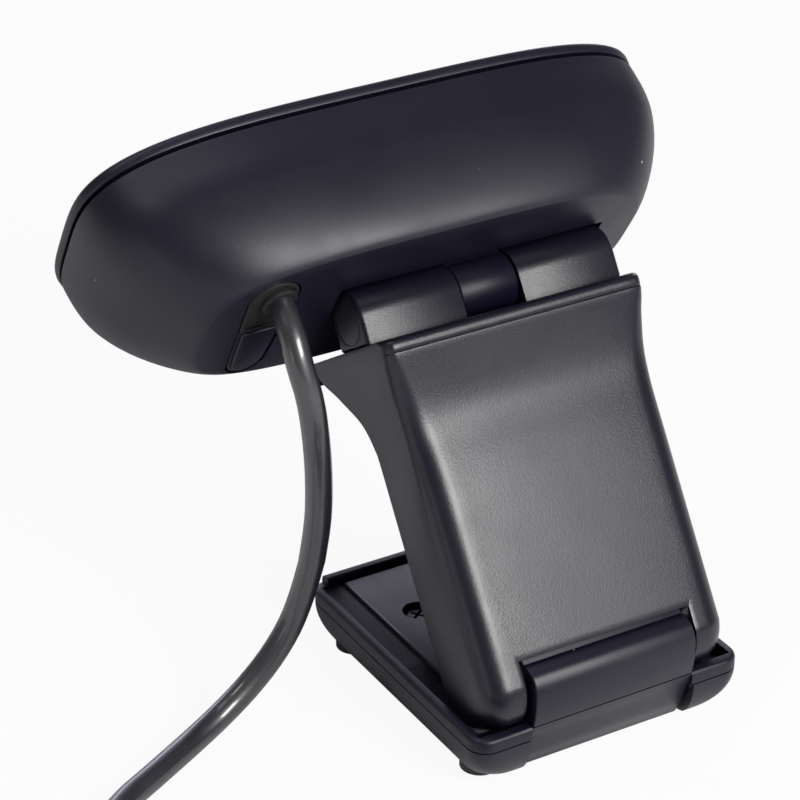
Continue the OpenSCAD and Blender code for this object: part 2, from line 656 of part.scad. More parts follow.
// The front wall, with round top edges
module front_wall() {
  top = foot_h + plateau_h + front_wall_h;
  y0 = -foot_len + 0.3;
  y1 = plateau_y[0] - front_gap;
  along_x(2 * groove_out - 2) polygon([[y0, foot_h - 1], [y0, top - 0.9], [y0 + 0.3, top - 0.3],
    [y0 + 0.9, top], [y1 - 0.3, top], [y1, top - 0.3], [y1, foot_h - 1]]);
}
// The raised middle of the foot, with a chamfered rim
module plateau() {
  cut = 0.4;
  translate([0, plateau_y[1], foot_h - 0.1]) rotate([90, 0, 0])
    linear_extrude(plateau_y[1] - plateau_y[0]) polygon([[-plateau_half, 0], [plateau_half, 0],
      [plateau_half - cut, plateau_h + 0.1], [-plateau_half + cut, plateau_h + 0.1]]);
}
// Inset of the belly at a height: a quarter ellipse from the parting line down
function belly_inset(t) = belly_in * (1 - sqrt(1 - pow(1 - t, 2)));
module foot_shell() {
  cavity_z = belly_z + 1.4;
  color(satin) at_foot() difference() {
    union() {
      difference() {
        loft([for (k = [5:-1:0]) let (t = k / 5, inset = belly_inset(t))
          foot_ring(inset, foot_corner + 1.5 * inset, belly_z + (parting_z - belly_z) * t)]);
        loft([foot_ring(1.7, foot_corner, parting_z + 1), foot_ring(1.7, foot_corner, 4.6),
          foot_ring(4.2, foot_corner + 3, cavity_z)]);
      }
      for (p = feet) translate([p.x, p.y, belly_z + 0.1]) cylinder(d = pad_d + 1.8, h = 3);
      for (s = [-1, 1]) translate([s * screw_x, screw_y, belly_z + 0.2])
        cylinder(d = 5, h = block_z - belly_z - 0.2);
      translate([0, nut_y, belly_z + 0.2]) cylinder(d = 13, h = 2.6);
      block(-knuckle_w / 2 - 2, knuckle_w / 2 + 2, plateau_y[1] - 1.6, -8, belly_z + 0.2, block_z);
    }
    lobe_cut();
    knuckle_cut(knuckle_gap / 2);
    for (p = feet) translate([p.x, p.y, -1]) cylinder(d = pad_d, h = belly_z + 2.4);
    for (s = [-1, 1]) translate([s * screw_x, screw_y, 2]) cylinder(d = 1.6, h = 10);
    translate([0, nut_y, -1]) cylinder(d = 8.6, h = 10);
    translate([0, nut_y, belly_z + 1.6]) cylinder(d = 11.2, h = 10);
  }
}
module knuckle_upper() {
  color(satin) at_hinge() difference() {
    along_x(knuckle_w) polygon(concat(smooth(knuckle_back, 2), arc(knuckle_r, 40, 180, 20),
      [[-knuckle_r, -hinge_rise]]));
    rod(foot_pin_d, knuckle_w + 2);
    for (s = [-1, 1]) translate([8 * s, 0, -hinge_rise - 1]) cylinder(d = 1.6, h = 3.6);
  }
}
module knuckle_lower() {
  front = plateau_y[1] + 0.2 + hinge_inset;
  color(satin) at_hinge() difference() {
    along_x(knuckle_w) polygon(concat(smooth(knuckle_low, 2),
      [[front, belly_z - hinge_z], [front, -hinge_rise]]));
    for (s = [-1, 1]) translate([8 * s, 0, -hinge_z]) {
      cylinder(d = 2, h = hinge_z);
      cylinder(d = 4, h = 3);
    }
  }
}
module foot_pin() {
  color(steel) at_hinge() rod(foot_pin_d, arm_w - 3);
}
module hinge_washers() {
  color(steel) at_hinge() for (s = [-1, 1])
    translate([s * (knuckle_w / 2 + knuckle_gap / 2), 0, 0]) difference() {
      rod(7, knuckle_gap - 0.1);
      rod(foot_pin_d + 2 * run_fit, 2);
    }
}
module foot_screws() {
  color(steel) at_foot() for (s = [-1, 1]) translate([s * screw_x, screw_y, foot_h + 0.2])
    screw(3.6, 1.2, 1.6, 6.2);
}
module knuckle_screws() {
  color(steel) at_hinge() for (s = [-1, 1]) translate([8 * s, 0, -hinge_z + 1.6])
    mirror([0, 0, 1]) screw(3.6, 1.4, 1.6, 9.6);
}
module rubber_feet() {
  color(rubber) at_foot() for (p = feet) translate(p) cylinder(d = pad_d, h = belly_z + 1.4);
}
module tripod_nut() {
  color(brass) at_foot() translate([0, nut_y, belly_z + 0.3]) difference() {
    union() {
      cylinder(d = 8.4, h = thread_l);
      translate([0, 0, 1.3]) cylinder(d = 11, h = 1.2);
    }
    translate([0, 0, -1]) cylinder(d = thread_d, h = thread_l + 2);
  }
}

// ---- Cable ----
hinge_to_axis = turn_x([0, axis_y, axis_z], arm_lean);
face_origin = [0, hinge_y, hinge_z] + hinge_to_axis + turn_x([0, -axis_gap, 0], -head_pitch);
cord_exit = face_origin + turn_x([cord_hole[0], collar_h, mid_z + cord_hole[1]],
  -head_pitch - face_slope);
exit_way = turn_x([0, 1, 0], -head_pitch - face_slope);
cord_r = cord_d / 2;
// Middle of the coil, and the radius of its outer turn
coil_at = [37, 78];
coil_turn = coil_mean_d / 2 + (coil_columns - 1) * cord_r;
plug_at = [5, 102, 0];
// The way of the cable from the gland to the coil, and from the coil to the plug
cord_way = [cord_exit, [25.4, 2.4, 61], [25.4, 4.5, 57.3], [24.7, 6, 52.3], [24.1, 6.5, 46],
  [23.5, 6, 39.1], [23.2, 5, 32], [23.7, 4, 24.9], [25.2, 3, 18.1], [28, 2.5, 11.9],
  [32.9, 2.5, 6.6], [38.6, 3.4, 3.2], [44.3, 5.6, cord_r], [53.6, 10.7, cord_r],
  [59, 13.7, cord_r], [63.2, 17.2, cord_r], [65.8, 21.7, cord_r], [66.8, 26.8, cord_r],
  [coil_at.x + coil_turn, 40, cord_r], [coil_at.x + coil_turn, coil_at.y, cord_r]];
junction = 7;
tail_a = 100;
tail_way = [[coil_at.x + coil_turn * cos(tail_a), coil_at.y + coil_turn * sin(tail_a), 3 * cord_r],
  [24.5, 106.2, 5.7], [17.5, 104.1, 4.6], [11, 102.4, grip_t / 2], [8, plug_at.y, grip_t / 2],
  [plug_at.x, plug_at.y, grip_t / 2]];
coil_in = coil_mean_d / 2 - coil_columns * cord_r;
coil_out = coil_mean_d / 2 + coil_columns * cord_r;
coil_h = coil_layers * cord_d;
function way_dir(p, i, first) = i == 0 ? first
  : unit(p[min(i + 1, len(p) - 1)] - p[i - 1]);
// Rings of the cable; the reference direction is never along it
function cord_rings(p, first) = [for (i = [0:len(p) - 1])
  let (t = way_dir(p, i, first), u = unit(cross(t, [0.5, -0.8, -0.2])), v = cross(u, t))
  [for (k = [0:7]) p[i] + cord_r * (u * cos(45 * k) + v * sin(45 * k))]];
rings = cord_rings(cord_way, exit_way);
tail_rings = cord_rings(tail_way, unit([-0.2, 1, 0]));
module cord_upper() {
  color(rubber) loft([for (i = [0:junction]) rings[i]]);
}
module cord_lower() {
  color(rubber) loft([for (i = [junction:len(rings) - 1]) rings[i]]);
}
module cord_tail() {
  color(rubber) loft(tail_rings);
}
tie_a = 20;
tie_t = 0.9;
// A sector of the coil's section, grown by an amount on the open sides
module coil_sector(grow, low, from, angle) {
  rotate([0, 0, from]) rotate_extrude(angle = angle, $fn = 96)
    translate([coil_in - grow, low]) square([coil_out - coil_in + 2 * grow, coil_h + grow - low]);
}
module usb_coil() {
  color(rubber) translate([coil_at.x, coil_at.y, 0]) difference() {
    coil_sector(0, 0, 0, 360);
    difference() {
      coil_sector(2, -1, 170, tie_a);
      coil_sector(-tie_t, tie_t, 160, 2 * tie_a);
    }
  }
}
module coil_tie() {
  color([0.1, 0.1, 0.1]) translate([coil_at.x, coil_at.y, 0]) difference() {
    coil_sector(0.4, 0, 171, tie_a - 2);
    coil_sector(-tie_t, tie_t, 160, 2 * tie_a);
  }
}
module at_plug() { translate(plug_at) children(); }
module plug_grip() {
  h = grip_w / 2;
  color(rubber) at_plug() difference() {
    union() {
      block(-grip_l, -6, -h, h, 0.2, grip_t - 0.2);
      block(-grip_l + 0.6, -6.6, -h + 0.6, h - 0.6, 0, grip_t);
      block(-6, 0, -h + 3, h - 3, 0.8, grip_t - 0.8);
      for (k = [0:2]) block(-5 + 1.9 * k, -4.2 + 1.9 * k, -h + 2.4, h - 2.4, 0.4, grip_t - 0.4);
    }
    block(-grip_l - 1, -grip_l + 3, -6, 6, grip_t / 2 - 2.25, grip_t / 2 + 2.25);
  }
}
module plug_shell() {
  x0 = -grip_l - 12;
  color(steel) at_plug() difference() {
    block(x0, -grip_l + 3, -6, 6, grip_t / 2 - 2.25, grip_t / 2 + 2.25);
    block(x0 - 1, -grip_l + 2, -5.7, 5.7, grip_t / 2 - 1.95, grip_t / 2 + 1.95);
    for (y = [-3, 3]) block(x0 + 4.2, x0 + 6.8, y - 1.2, y + 1.2, grip_t / 2, grip_t);
  }
}
module plug_insert() {
  x0 = -grip_l - 12;
  color([0.9, 0.9, 0.9]) at_plug() {
    block(x0 + 0.5, -grip_l + 2, -5.6, 5.6, grip_t / 2 - 1.95, grip_t / 2 - 0.2);
    block(-grip_l - 2, -grip_l + 2, -5.6, 5.6, grip_t / 2 - 0.2, grip_t / 2 + 1.9);
  }
}

rear_housing();
front_bezel();
front_panel();
lens_ring();
lens_glass();
lens_barrel();
lens_holder();
image_sensor();
main_board();
board_chips();
board_screws();
mic_boots();
microphones();
light_guides();
status_lights();
cable_gland();
gland_cover();
tilt_bracket();
bracket_screws();
tilt_pin();
pin_caps();
hinge_barrels();
clip_frame();
arm_cover();
top_bead();
arm_pad();
lip_pad();
cover_screws();
foot_cover();
foot_shell();
knuckle_upper();
knuckle_lower();
foot_pin();
hinge_washers();
foot_screws();
knuckle_screws();
rubber_feet();
tripod_nut();
cord_upper();
cord_lower();
cord_tail();
usb_coil();
coil_tie();
plug_grip();
plug_shell();
plug_insert();
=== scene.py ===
"""A webcam on a folding clip, standing on its foot, with its cable.

Laid out as an add-on: one operator for each piece or group of like pieces, one for the stage, and a
panel in the 3D view's sidebar that lists them. Lengths are millimetres in the axes that a piece is
modelled in, and each finished piece is moved to its place in metres.
"""

import json
import math

import bpy
from bpy.props import FloatProperty, FloatVectorProperty, IntProperty, PointerProperty
from mathutils import Matrix, Vector

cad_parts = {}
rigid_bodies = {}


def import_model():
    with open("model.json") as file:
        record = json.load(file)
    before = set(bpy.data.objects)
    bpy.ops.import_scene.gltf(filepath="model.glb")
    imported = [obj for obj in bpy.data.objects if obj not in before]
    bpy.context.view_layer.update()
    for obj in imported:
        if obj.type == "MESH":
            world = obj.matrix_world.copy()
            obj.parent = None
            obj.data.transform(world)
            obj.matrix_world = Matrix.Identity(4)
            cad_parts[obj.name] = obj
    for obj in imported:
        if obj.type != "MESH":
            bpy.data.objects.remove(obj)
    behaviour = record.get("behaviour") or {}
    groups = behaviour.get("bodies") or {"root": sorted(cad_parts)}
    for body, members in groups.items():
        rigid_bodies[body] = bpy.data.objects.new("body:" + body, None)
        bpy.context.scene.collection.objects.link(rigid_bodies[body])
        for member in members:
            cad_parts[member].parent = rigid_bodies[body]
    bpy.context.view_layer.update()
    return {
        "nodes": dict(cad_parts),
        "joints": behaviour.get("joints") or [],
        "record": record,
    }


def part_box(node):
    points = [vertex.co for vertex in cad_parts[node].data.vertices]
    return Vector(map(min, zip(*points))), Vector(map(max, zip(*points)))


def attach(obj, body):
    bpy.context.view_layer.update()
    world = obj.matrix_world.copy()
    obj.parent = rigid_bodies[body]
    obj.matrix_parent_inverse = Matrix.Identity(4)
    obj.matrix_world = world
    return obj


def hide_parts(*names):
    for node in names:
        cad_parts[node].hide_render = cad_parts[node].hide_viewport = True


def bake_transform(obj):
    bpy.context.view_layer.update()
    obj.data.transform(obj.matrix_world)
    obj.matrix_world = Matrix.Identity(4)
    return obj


bl_info = {
    "name": "Folding Webcam",
    "version": (1, 0, 0),
    "blender": (4, 5, 0),
    "location": "3D View > Sidebar > Webcam",
    "description": "Builds a webcam on a folding clip with its cable, materials and stage",
    "category": "Add Mesh",
}

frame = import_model()
MM = 0.001
JOINTS = {joint["name"]: Vector(joint["pos_m"]) for joint in frame["joints"]}


def length(name, default, text):
    """A length in millimetres that a user may change."""
    return FloatProperty(name=name, default=default, description=text, min=0.0, precision=2)


def angle(name, degrees, text):
    """An angle, kept in radians as Blender does."""
    return FloatProperty(name=name, default=math.radians(degrees), description=text, subtype="ANGLE")


def colour(name, value, text):
    """A plain colour."""
    return FloatVectorProperty(name=name, default=value, description=text, subtype="COLOR", size=3,
                               min=0.0, max=1.0)


def node_size(node, axis):
    """The size in millimetres of a solid of the frame along one axis."""
    low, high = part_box(node)
    return (high[axis] - low[axis]) / MM


class HeadSizes(bpy.types.PropertyGroup):
    """Sizes of the camera head, in millimetres."""
    width: length("Width", node_size("front_bezel", 0), "Width of the head at its seam")
    height: length("Height", 40.0, "Height of the head at its seam")
    face_depth: length("Face depth", 21.7, "Depth from the seam to the flat rear face")
    dome_depth: length("Dome depth", 24.0, "Depth at which the dome would close")
    side_draw: length("Side draw", 11.3, "How far the dome draws in at each end")
    top_draw: length("Top draw", 5.7, "How far the dome draws in at top and bottom")
    dome_rise: length("Dome rise", 2.1, "How far the dome rises over the front's middle")
    face_slope: angle("Face slope", 2.9, "Slope of the flat rear face")
    bezel: length("Bezel depth", 1.8, "Depth of the bezel in front of the seam")
    seam: length("Seam gap", 0.35, "Gap that shows as the seam")
    groove: length("Seam groove", 0.6, "Depth of the groove behind the seam")
    swell: length("Swell", 1.0, "How far the housing swells before its rear edge")
    shoulder: length("Shoulder depth", 12.5, "Depth of the roll at the rear face's edge")
    shoulder_in: length("Shoulder width", 2.05, "Width of the roll at the rear face's edge")
    wall: length("Wall", 1.6, "Wall of the housing")
    crown: length("Panel crown", 0.7, "Height of the front panel's crown")
    pitch: angle("Pitch", 30.3, "Upward look of the lens")


class ClipSizes(bpy.types.PropertyGroup):
    """Sizes of the clip and its hinges, in millimetres."""
    lean: angle("Lean", 33.1, "Lean of the arm from upright")
    length: length("Arm length", 49.6, "From the foot hinge to the top of the plate")
    width: length("Arm width", 40.4, "Width of the arm")
    plate_width: length("Plate width", node_size("clip_frame", 0), "Width of the plate")
    wall: length("Side wall", 1.6, "Wall of the arm's sides")
    deep: length("Side depth", 13.6, "Depth of the arm's sides")
    back: length("Back", 6.9, "Distance of the arm's back behind the foot hinge")
    hollow: length("Hollow", 9.8, "Depth of the hollow's floor under the arm's back")
    reach: length("Plate reach", 26.8, "Reach of the plate from the arm's back")
    plate: length("Plate thickness", 2.2, "Thickness of the plate")
    lip: length("Lip", 1.1, "Height of the lip under the plate's front edge")
    rise: length("Tilt rise", 4.1, "Height of the tilt axis over the plate")
    inset: length("Tilt inset", 9.0, "Distance of the tilt axis from the arm's back")
    barrel: length("Barrel radius", 4.5, "Radius of the hinge barrels")
    span: length("Barrel span", node_size("hinge_barrels", 0), "Distance between the barrels' ends")
    cap: length("Cap radius", 3.5, "Radius of the caps in the barrels' ends")
    tongue: length("Tongue", 9.3, "Width of the head's hinge tongue")
    play: length("Tongue play", 0.25, "Gap on each side of the tongue")
    gap: length("Axis gap", 3.0, "Distance of the tilt axis behind the rear face")
    axis_rise: length("Axis rise", 2.1, "Height of the tilt axis over the front's middle")


class FootSizes(bpy.types.PropertyGroup):
    """Sizes of the foot, in millimetres."""
    length: length("Length", 48.9, "Length of the foot")
    width: length("Width", node_size("foot_cover", 0), "Width of the foot")
    corner: length("Corner", 3.0, "Radius of the foot's corners")
    rim: length("Rim height", 9.0, "Height of the rim over the table")
    strip: length("Strip depth", 0.6, "Depth of the strips beside the raised middle")
    plateau: length("Raised middle", 0.6, "Height of the raised middle over the rim")
    belly: length("Belly height", 0.3, "Height of the belly over the table")
    parting: length("Parting line", 6.9, "Height of the parting line")
    inset: length("Hinge inset", 7.6, "Distance of the hinge from the rear edge")
    rise: length("Hinge rise", 4.9, "Height of the hinge over the rim")
    knuckle: length("Knuckle width", node_size("knuckle_upper", 0), "Width of the knuckle")
    knuckle_gap: length("Knuckle gap", 0.9, "Gap between the knuckle and the arm's lobes")
    side_gap: length("Side gap", 1.1, "Gap between the arm's sides and the rim")
    lobe_gap: length("Lobe gap", 0.4, "Gap round the arm's lower end")


class CableSizes(bpy.types.PropertyGroup):
    """Sizes of the cable, in millimetres."""
    diameter: length("Diameter", 3.9, "Diameter of the cable")
    coil: length("Coil", 45.0, "Middle diameter of the coil")
    columns: IntProperty(name="Columns", default=5, description="Turns of the coil beside each other")
    layers: IntProperty(name="Layers", default=2, description="Turns of the coil on each other")


class Finishes(bpy.types.PropertyGroup):
    """Colours of the finishes."""
    satin: colour("Satin", (0.0055, 0.0047, 0.0155), "Satin moulded plastic")
    grain: colour("Grain", (0.006, 0.005, 0.014), "Grained plastic of the arm's back")
    gloss: colour("Gloss", (0.008, 0.007, 0.011), "Polished plastic")
    cable: colour("Cable", (0.014, 0.0125, 0.019), "Cable jacket")
    rubber: colour("Rubber", (0.012, 0.012, 0.013), "Soft rubber")
    steel: colour("Steel", (0.56, 0.57, 0.6), "Plated steel")
    floor: colour("Floor", (0.86, 0.86, 0.86), "Floor")


class WebcamSettings(bpy.types.PropertyGroup):
    """Everything that a user may change."""
    head: PointerProperty(type=HeadSizes)
    clip: PointerProperty(type=ClipSizes)
    foot: PointerProperty(type=FootSizes)
    cable: PointerProperty(type=CableSizes)
    finish: PointerProperty(type=Finishes)


def settings():
    """The scene's settings."""
    return bpy.context.scene.webcam


def place_of(name):
    """The axes that a piece is modelled in, from millimetres to metres, and the body that it rides."""
    s = settings()
    foot, tilt = JOINTS["foot_hinge"], JOINTS["head_tilt"]
    origin, turn, body = {
        # on the table under the middle of the foot's rear edge, foot at y < 0
        "foot": ((foot.x, foot.y + s.foot.inset * MM, 0.0), 0.0, "foot"),
        # on the foot hinge, unturned
        "knuckle": (foot, 0.0, "foot"),
        # on the foot hinge, z along the arm
        "arm": (foot, s.clip.lean, "clip"),
        # on the tilt hinge, z along the arm
        "tilt": (tilt, s.clip.lean, "clip"),
        # at the tilt hinge's height in the middle of the head, lens along -y
        "head": ((0.0, tilt.y, tilt.z), -s.head.pitch, "head"),
    }[name]
    return Matrix.Translation(origin) @ Matrix.Rotation(turn, 4, "X") @ Matrix.Scale(MM, 4), body


# ---- Modelling helpers ----
def mode(name):
    """The active object goes to edit mode or back."""
    bpy.ops.object.mode_set(mode=name)


def clear_selection():
    """Nothing is selected."""
    bpy.ops.object.select_all(action="DESELECT")


def pick(obj):
    """Only this object is selected and active."""
    clear_selection()
    obj.select_set(True)
    bpy.context.view_layer.objects.active = obj


def named(name):
    """The object just added gets its name."""
    bpy.context.object.name = name
    return bpy.context.object


def recalculate(obj):
    """Doubles are merged and the faces point outwards."""
    pick(obj)
    mode("EDIT")
    bpy.ops.mesh.select_all(action="SELECT")
    bpy.ops.mesh.remove_doubles(threshold=0.0005)
    bpy.ops.mesh.normals_make_consistent(inside=False)
    mode("OBJECT")
    return obj


def move_points(obj, first, points):
    """The vertices from one number on are moved to the points given."""
    for vertex, point in zip(obj.data.vertices[first:first + len(points)], points):
        vertex.co = point


def outline_object(name, points):
    """A closed outline through the points, without a face."""
    clear_selection()
    bpy.ops.mesh.primitive_circle_add(vertices=len(points), radius=1.0, fill_type="NOTHING")
    obj = named(name)
    move_points(obj, 0, points)
    return obj


def loft(name, rings):
    """An outline is extruded again and again, each new ring moved to its place, and capped."""
    count = len(rings[0])
    obj = outline_object(name, rings[0])
    for ring in rings[1:]:
        mode("EDIT")
        bpy.ops.mesh.extrude_edges_move()
        mode("OBJECT")
        last = len(obj.data.vertices) - count
        move_points(obj, last, ring)
    mode("EDIT")
    bpy.ops.mesh.select_mode(type="VERT")
    for first in (0, last):
        bpy.ops.mesh.select_all(action="DESELECT")
        mode("OBJECT")
        for vertex in obj.data.vertices[first:first + count]:
            vertex.select = True
        mode("EDIT")
        bpy.ops.mesh.edge_face_add()
    mode("OBJECT")
    return recalculate(obj)


def prism(name, outline, x0, x1):
    """An outline in y and z, filled and extruded along x."""
    return loft(name, [[(x, y, z) for y, z in outline] for x in (x0, x1)])


def slab(name, outline, y0, y1):
    """An outline in x and z, filled and extruded along y."""
    return loft(name, [[(x, y, z) for x, z in outline] for y in (y0, y1)])


def block(name, low, high):
    """A block between two corners, as a start or as a cutter."""
    clear_selection()
    bpy.ops.mesh.primitive_cube_add(size=1.0)
    obj = named(name)
    size = Vector(high) - Vector(low)
    middle = (Vector(high) + Vector(low)) / 2
    obj.data.transform(Matrix.Translation(middle) @ Matrix.Diagonal((*size, 1.0)))
    return obj


def drum(name, axis, radius, start, end, centre=(0.0, 0.0, 0.0), sides=32):
    """A cylinder along x, y or z."""
    clear_selection()
    bpy.ops.mesh.primitive_cylinder_add(vertices=sides, radius=radius, depth=end - start)
    obj = named(name)
    turn = {"x": Matrix.Rotation(math.pi / 2, 4, "Y"), "y": Matrix.Rotation(-math.pi / 2, 4, "X"),
            "z": Matrix.Identity(4)}[axis]
    shift = Vector([(start + end) / 2 if a == axis else 0.0 for a in "xyz"]) + Vector(centre)
    obj.data.transform(Matrix.Translation(shift) @ turn)
    return obj


def apply_modifier(obj, kind, **values):
    """A modifier with its values is applied."""
    pick(obj)
    modifier = obj.modifiers.new(kind.lower(), kind)
    for key, value in values.items():
        setattr(modifier, key, value)
    bpy.ops.object.modifier_apply(modifier=modifier.name)
    return obj


def combine(obj, tool, operation="DIFFERENCE"):
    """One solid is cut from, joined to or kept within another, and the tool goes."""
    apply_modifier(obj, "BOOLEAN", object=tool, operation=operation, solver="EXACT")
    bpy.data.objects.remove(tool)
    return obj


def drill(obj, *sizes, **more):
    """A round hole, with its sizes as for a cylinder."""
    return combine(obj, drum("drill", *sizes, **more))


def round_edges(obj, width, segments=3, angle=32.0):
    """The sharp edges get a small radius."""
    return apply_modifier(obj, "BEVEL", width=width, segments=segments, limit_method="ANGLE",
                          angle_limit=math.radians(angle), miter_outer="MITER_ARC")


def bevel_where(obj, test, width, segments=4):
    """The edges whose both ends pass a test are rounded."""
    pick(obj)
    mode("EDIT")
    bpy.ops.mesh.select_mode(type="EDGE")
    bpy.ops.mesh.select_all(action="DESELECT")
    mode("OBJECT")
    places = [v.co for v in obj.data.vertices]
    for edge in obj.data.edges:
        edge.select = all(test(places[i]) for i in edge.vertices)
    mode("EDIT")
    bpy.ops.mesh.bevel(offset=width, segments=segments, affect="EDGES", clamp_overlap=True)
    mode("OBJECT")
    return obj


def slice_off(obj, point, direction):
    """All that lies beyond a plane is cut away and the cut is closed."""
    pick(obj)
    mode("EDIT")
    bpy.ops.mesh.select_all(action="SELECT")
    bpy.ops.mesh.bisect(plane_co=point, plane_no=direction, use_fill=True, clear_outer=True)
    mode("OBJECT")
    return obj


def dress(obj, look, smooth):
    """The object is shaded and gets its material."""
    pick(obj)
    bpy.ops.object.shade_smooth_by_angle(angle=math.radians(smooth))
    obj.data.materials.clear()
    obj.data.materials.append(finish(look))
    return obj


def finish_piece(obj, place, slot, node, *more_nodes, look=None, smooth=32.0):
    """The piece goes to its place, is shaded and stands for its solids."""
    matrix, body = place_of(place)
    obj.data.transform(matrix)
    dress(obj, look or slot, smooth)
    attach(obj, body)
    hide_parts(node, *more_nodes)
    return obj


def near(value, target, play=0.001):
    """Two lengths are the same, as far as a test of a mesh needs."""
    return abs(value - target) < play


def signed_power(value, power):
    """A power that keeps the sign."""
    return math.copysign(abs(value) ** power, value)


def catmull(points, steps):
    """A smooth curve through given points."""
    result = []
    for i in range(len(points) - 1):
        p = [Vector(points[max(i - 1, 0)]), Vector(points[i]), Vector(points[i + 1]),
             Vector(points[min(i + 2, len(points) - 1)])]
        for k in range(steps):
            t = k / steps
            result.append(0.5 * (2 * p[1] + (p[2] - p[0]) * t
                                 + (2 * p[0] - 5 * p[1] + 4 * p[2] - p[3]) * t * t
                                 + (3 * p[1] - p[0] - 3 * p[2] + p[3]) * t ** 3))
    return result + [Vector(points[-1])]


def smooth_yz(points, steps):
    """A smooth curve through points of y and z."""
    return [(p.x, p.y) for p in catmull([(y, z, 0.0) for y, z in points], steps)]


def arc(radius, start, end, count, centre=(0.0, 0.0)):
    """Points on an arc, in degrees."""
    angles = [math.radians(start + (end - start) * i / count) for i in range(count + 1)]
    return [(centre[0] + radius * math.cos(a), centre[1] + radius * math.sin(a)) for a in angles]


# ---- Finishes ----
def new_group(name, inputs, *outputs):
    """A shader node group, with its inputs and the place on the object."""
    group = bpy.data.node_groups.new(name, "ShaderNodeTree")
    for title, default in inputs.items():
        socket = group.interface.new_socket(title, in_out="INPUT", socket_type="NodeSocketFloat")
        socket.default_value = default
    for title in outputs:
        group.interface.new_socket(title, in_out="OUTPUT", socket_type="NodeSocketFloat")
    place = group.nodes.new("ShaderNodeTexCoord").outputs["Object"]
    return group, group.nodes.new("NodeGroupInput").outputs, place


def close_group(group, **results):
    """A group's results go to its outputs."""
    end = group.nodes.new("NodeGroupOutput")
    for title, source in results.items():
        group.links.new(source, end.inputs[title])
    return group


def put(tree, kind, values=None, **links):
    """A node with its settings and its links; a link's name has _ for each space."""
    node = tree.nodes.new(kind)
    for key, value in (values or {}).items():
        if key in node.inputs:
            node.inputs[key].default_value = value
        else:
            setattr(node, key, value)
    for key, source in links.items():
        tree.links.new(source, node.inputs[key.replace("_", " ")])
    return node


def plug_in(tree, socket, value):
    """A socket gets a number or the output of another node."""
    if hasattr(value, "is_output"):
        tree.links.new(value, socket)
    else:
        socket.default_value = value


def maths(tree, operation, *values, clamp=False):
    """A Math node; each input is a number or an output."""
    node = tree.nodes.new("ShaderNodeMath")
    node.operation = operation
    node.use_clamp = clamp
    for socket, value in zip(node.inputs, values):
        plug_in(tree, socket, value)
    return node.outputs[0]


def ease_between(tree, value, low, high):
    """A value mapped from one range to 0 and 1 and held there."""
    node = put(tree, "ShaderNodeMapRange", {"interpolation_type": "SMOOTHSTEP"})
    for socket, number in zip(node.inputs, (value, low, high)):
        plug_in(tree, socket, number)
    return node.outputs[0]


def grain_group():
    """The fine pits and peaks of a spark-eroded mould."""
    group, given, place = new_group("spark_grain", {"Scale": 2200.0}, "Height", "Peaks")
    cells = put(group, "ShaderNodeTexVoronoi", {"feature": "F1", "Randomness": 1.0},
                Vector=place, Scale=given["Scale"])
    coarse = put(group, "ShaderNodeTexNoise", {"Detail": 3.0, "Roughness": 0.6}, Vector=place,
                 Scale=maths(group, "MULTIPLY", given["Scale"], 0.45))
    pits = cells.outputs["Distance"]
    return close_group(group, Height=maths(group, "MULTIPLY_ADD", pits, -0.8, coarse.outputs["Fac"]),
                       Peaks=ease_between(group, pits, 0.42, 0.05))


def wear_group():
    """Slow changes in gloss, with fine rubs from handling."""
    group, given, place = new_group("handling", {"Scale": 60.0}, "Rub", "Haze")
    haze = put(group, "ShaderNodeTexNoise", {"Detail": 4.0, "Roughness": 0.55}, Vector=place,
               Scale=given["Scale"])
    long = put(group, "ShaderNodeMapping", {"Scale": (1.0, 14.0, 3.0), "Rotation": (0.3, 0.5, 0.4)},
               Vector=place)
    rub = put(group, "ShaderNodeTexNoise", {"Detail": 6.0, "Roughness": 0.7}, Vector=long.outputs[0],
              Scale=maths(group, "MULTIPLY", given["Scale"], 4.0))
    return close_group(group, Rub=ease_between(group, rub.outputs["Fac"], 0.62, 0.8),
                       Haze=ease_between(group, haze.outputs["Fac"], 0.3, 0.7))


def dust_group():
    """Rare pale specks of dust."""
    group, given, place = new_group("dust", {"Scale": 420.0, "Amount": 0.04}, "Specks")
    cells = put(group, "ShaderNodeTexVoronoi", {"feature": "F1", "Randomness": 1.0}, Vector=place,
                Scale=given["Scale"])
    chance = put(group, "ShaderNodeSeparateColor", Color=cells.outputs["Color"]).outputs
    rare = maths(group, "LESS_THAN", chance[0], given["Amount"])
    size = maths(group, "MULTIPLY", chance[1], 0.1)
    near_middle = maths(group, "LESS_THAN", cells.outputs["Distance"], size)
    return close_group(group, Specks=maths(group, "MULTIPLY", rare, near_middle))


GROUP_MAKERS = {"spark_grain": grain_group, "handling": wear_group, "dust": dust_group}
# Colours of rubbed plastic and of dust, and the depth of the grain in metres
RUBBED, DUST, GRAIN_DEPTH = (0.09, 0.087, 0.095), (0.42, 0.41, 0.4), 0.00003


def use_group(tree, name, **values):
    """A group, made once and placed in a material with its own values."""
    node = tree.nodes.new("ShaderNodeGroup")
    node.node_tree = bpy.data.node_groups.get(name) or GROUP_MAKERS[name]()
    for key, value in values.items():
        node.inputs[key].default_value = value
    return node.outputs


def mix_colour(tree, mask, first, second):
    """One colour over another by a mask."""
    node = put(tree, "ShaderNodeMix", {"data_type": "RGBA"})
    tree.links.new(mask, node.inputs[0])
    for socket, value in zip(node.inputs[6:8], (first, second)):
        plug_in(tree, socket, value if hasattr(value, "is_output") else (*value, 1.0))
    return node.outputs[2]


def new_material(name, **values):
    """A material, its tree and its Principled shader with the values given; _ stands for a space."""
    material = bpy.data.materials.new(name)
    material.use_nodes = True
    shader = material.node_tree.nodes["Principled BSDF"]
    for key, value in values.items():
        shader.inputs[key.replace("_", " ")].default_value = value
    return material, material.node_tree, shader


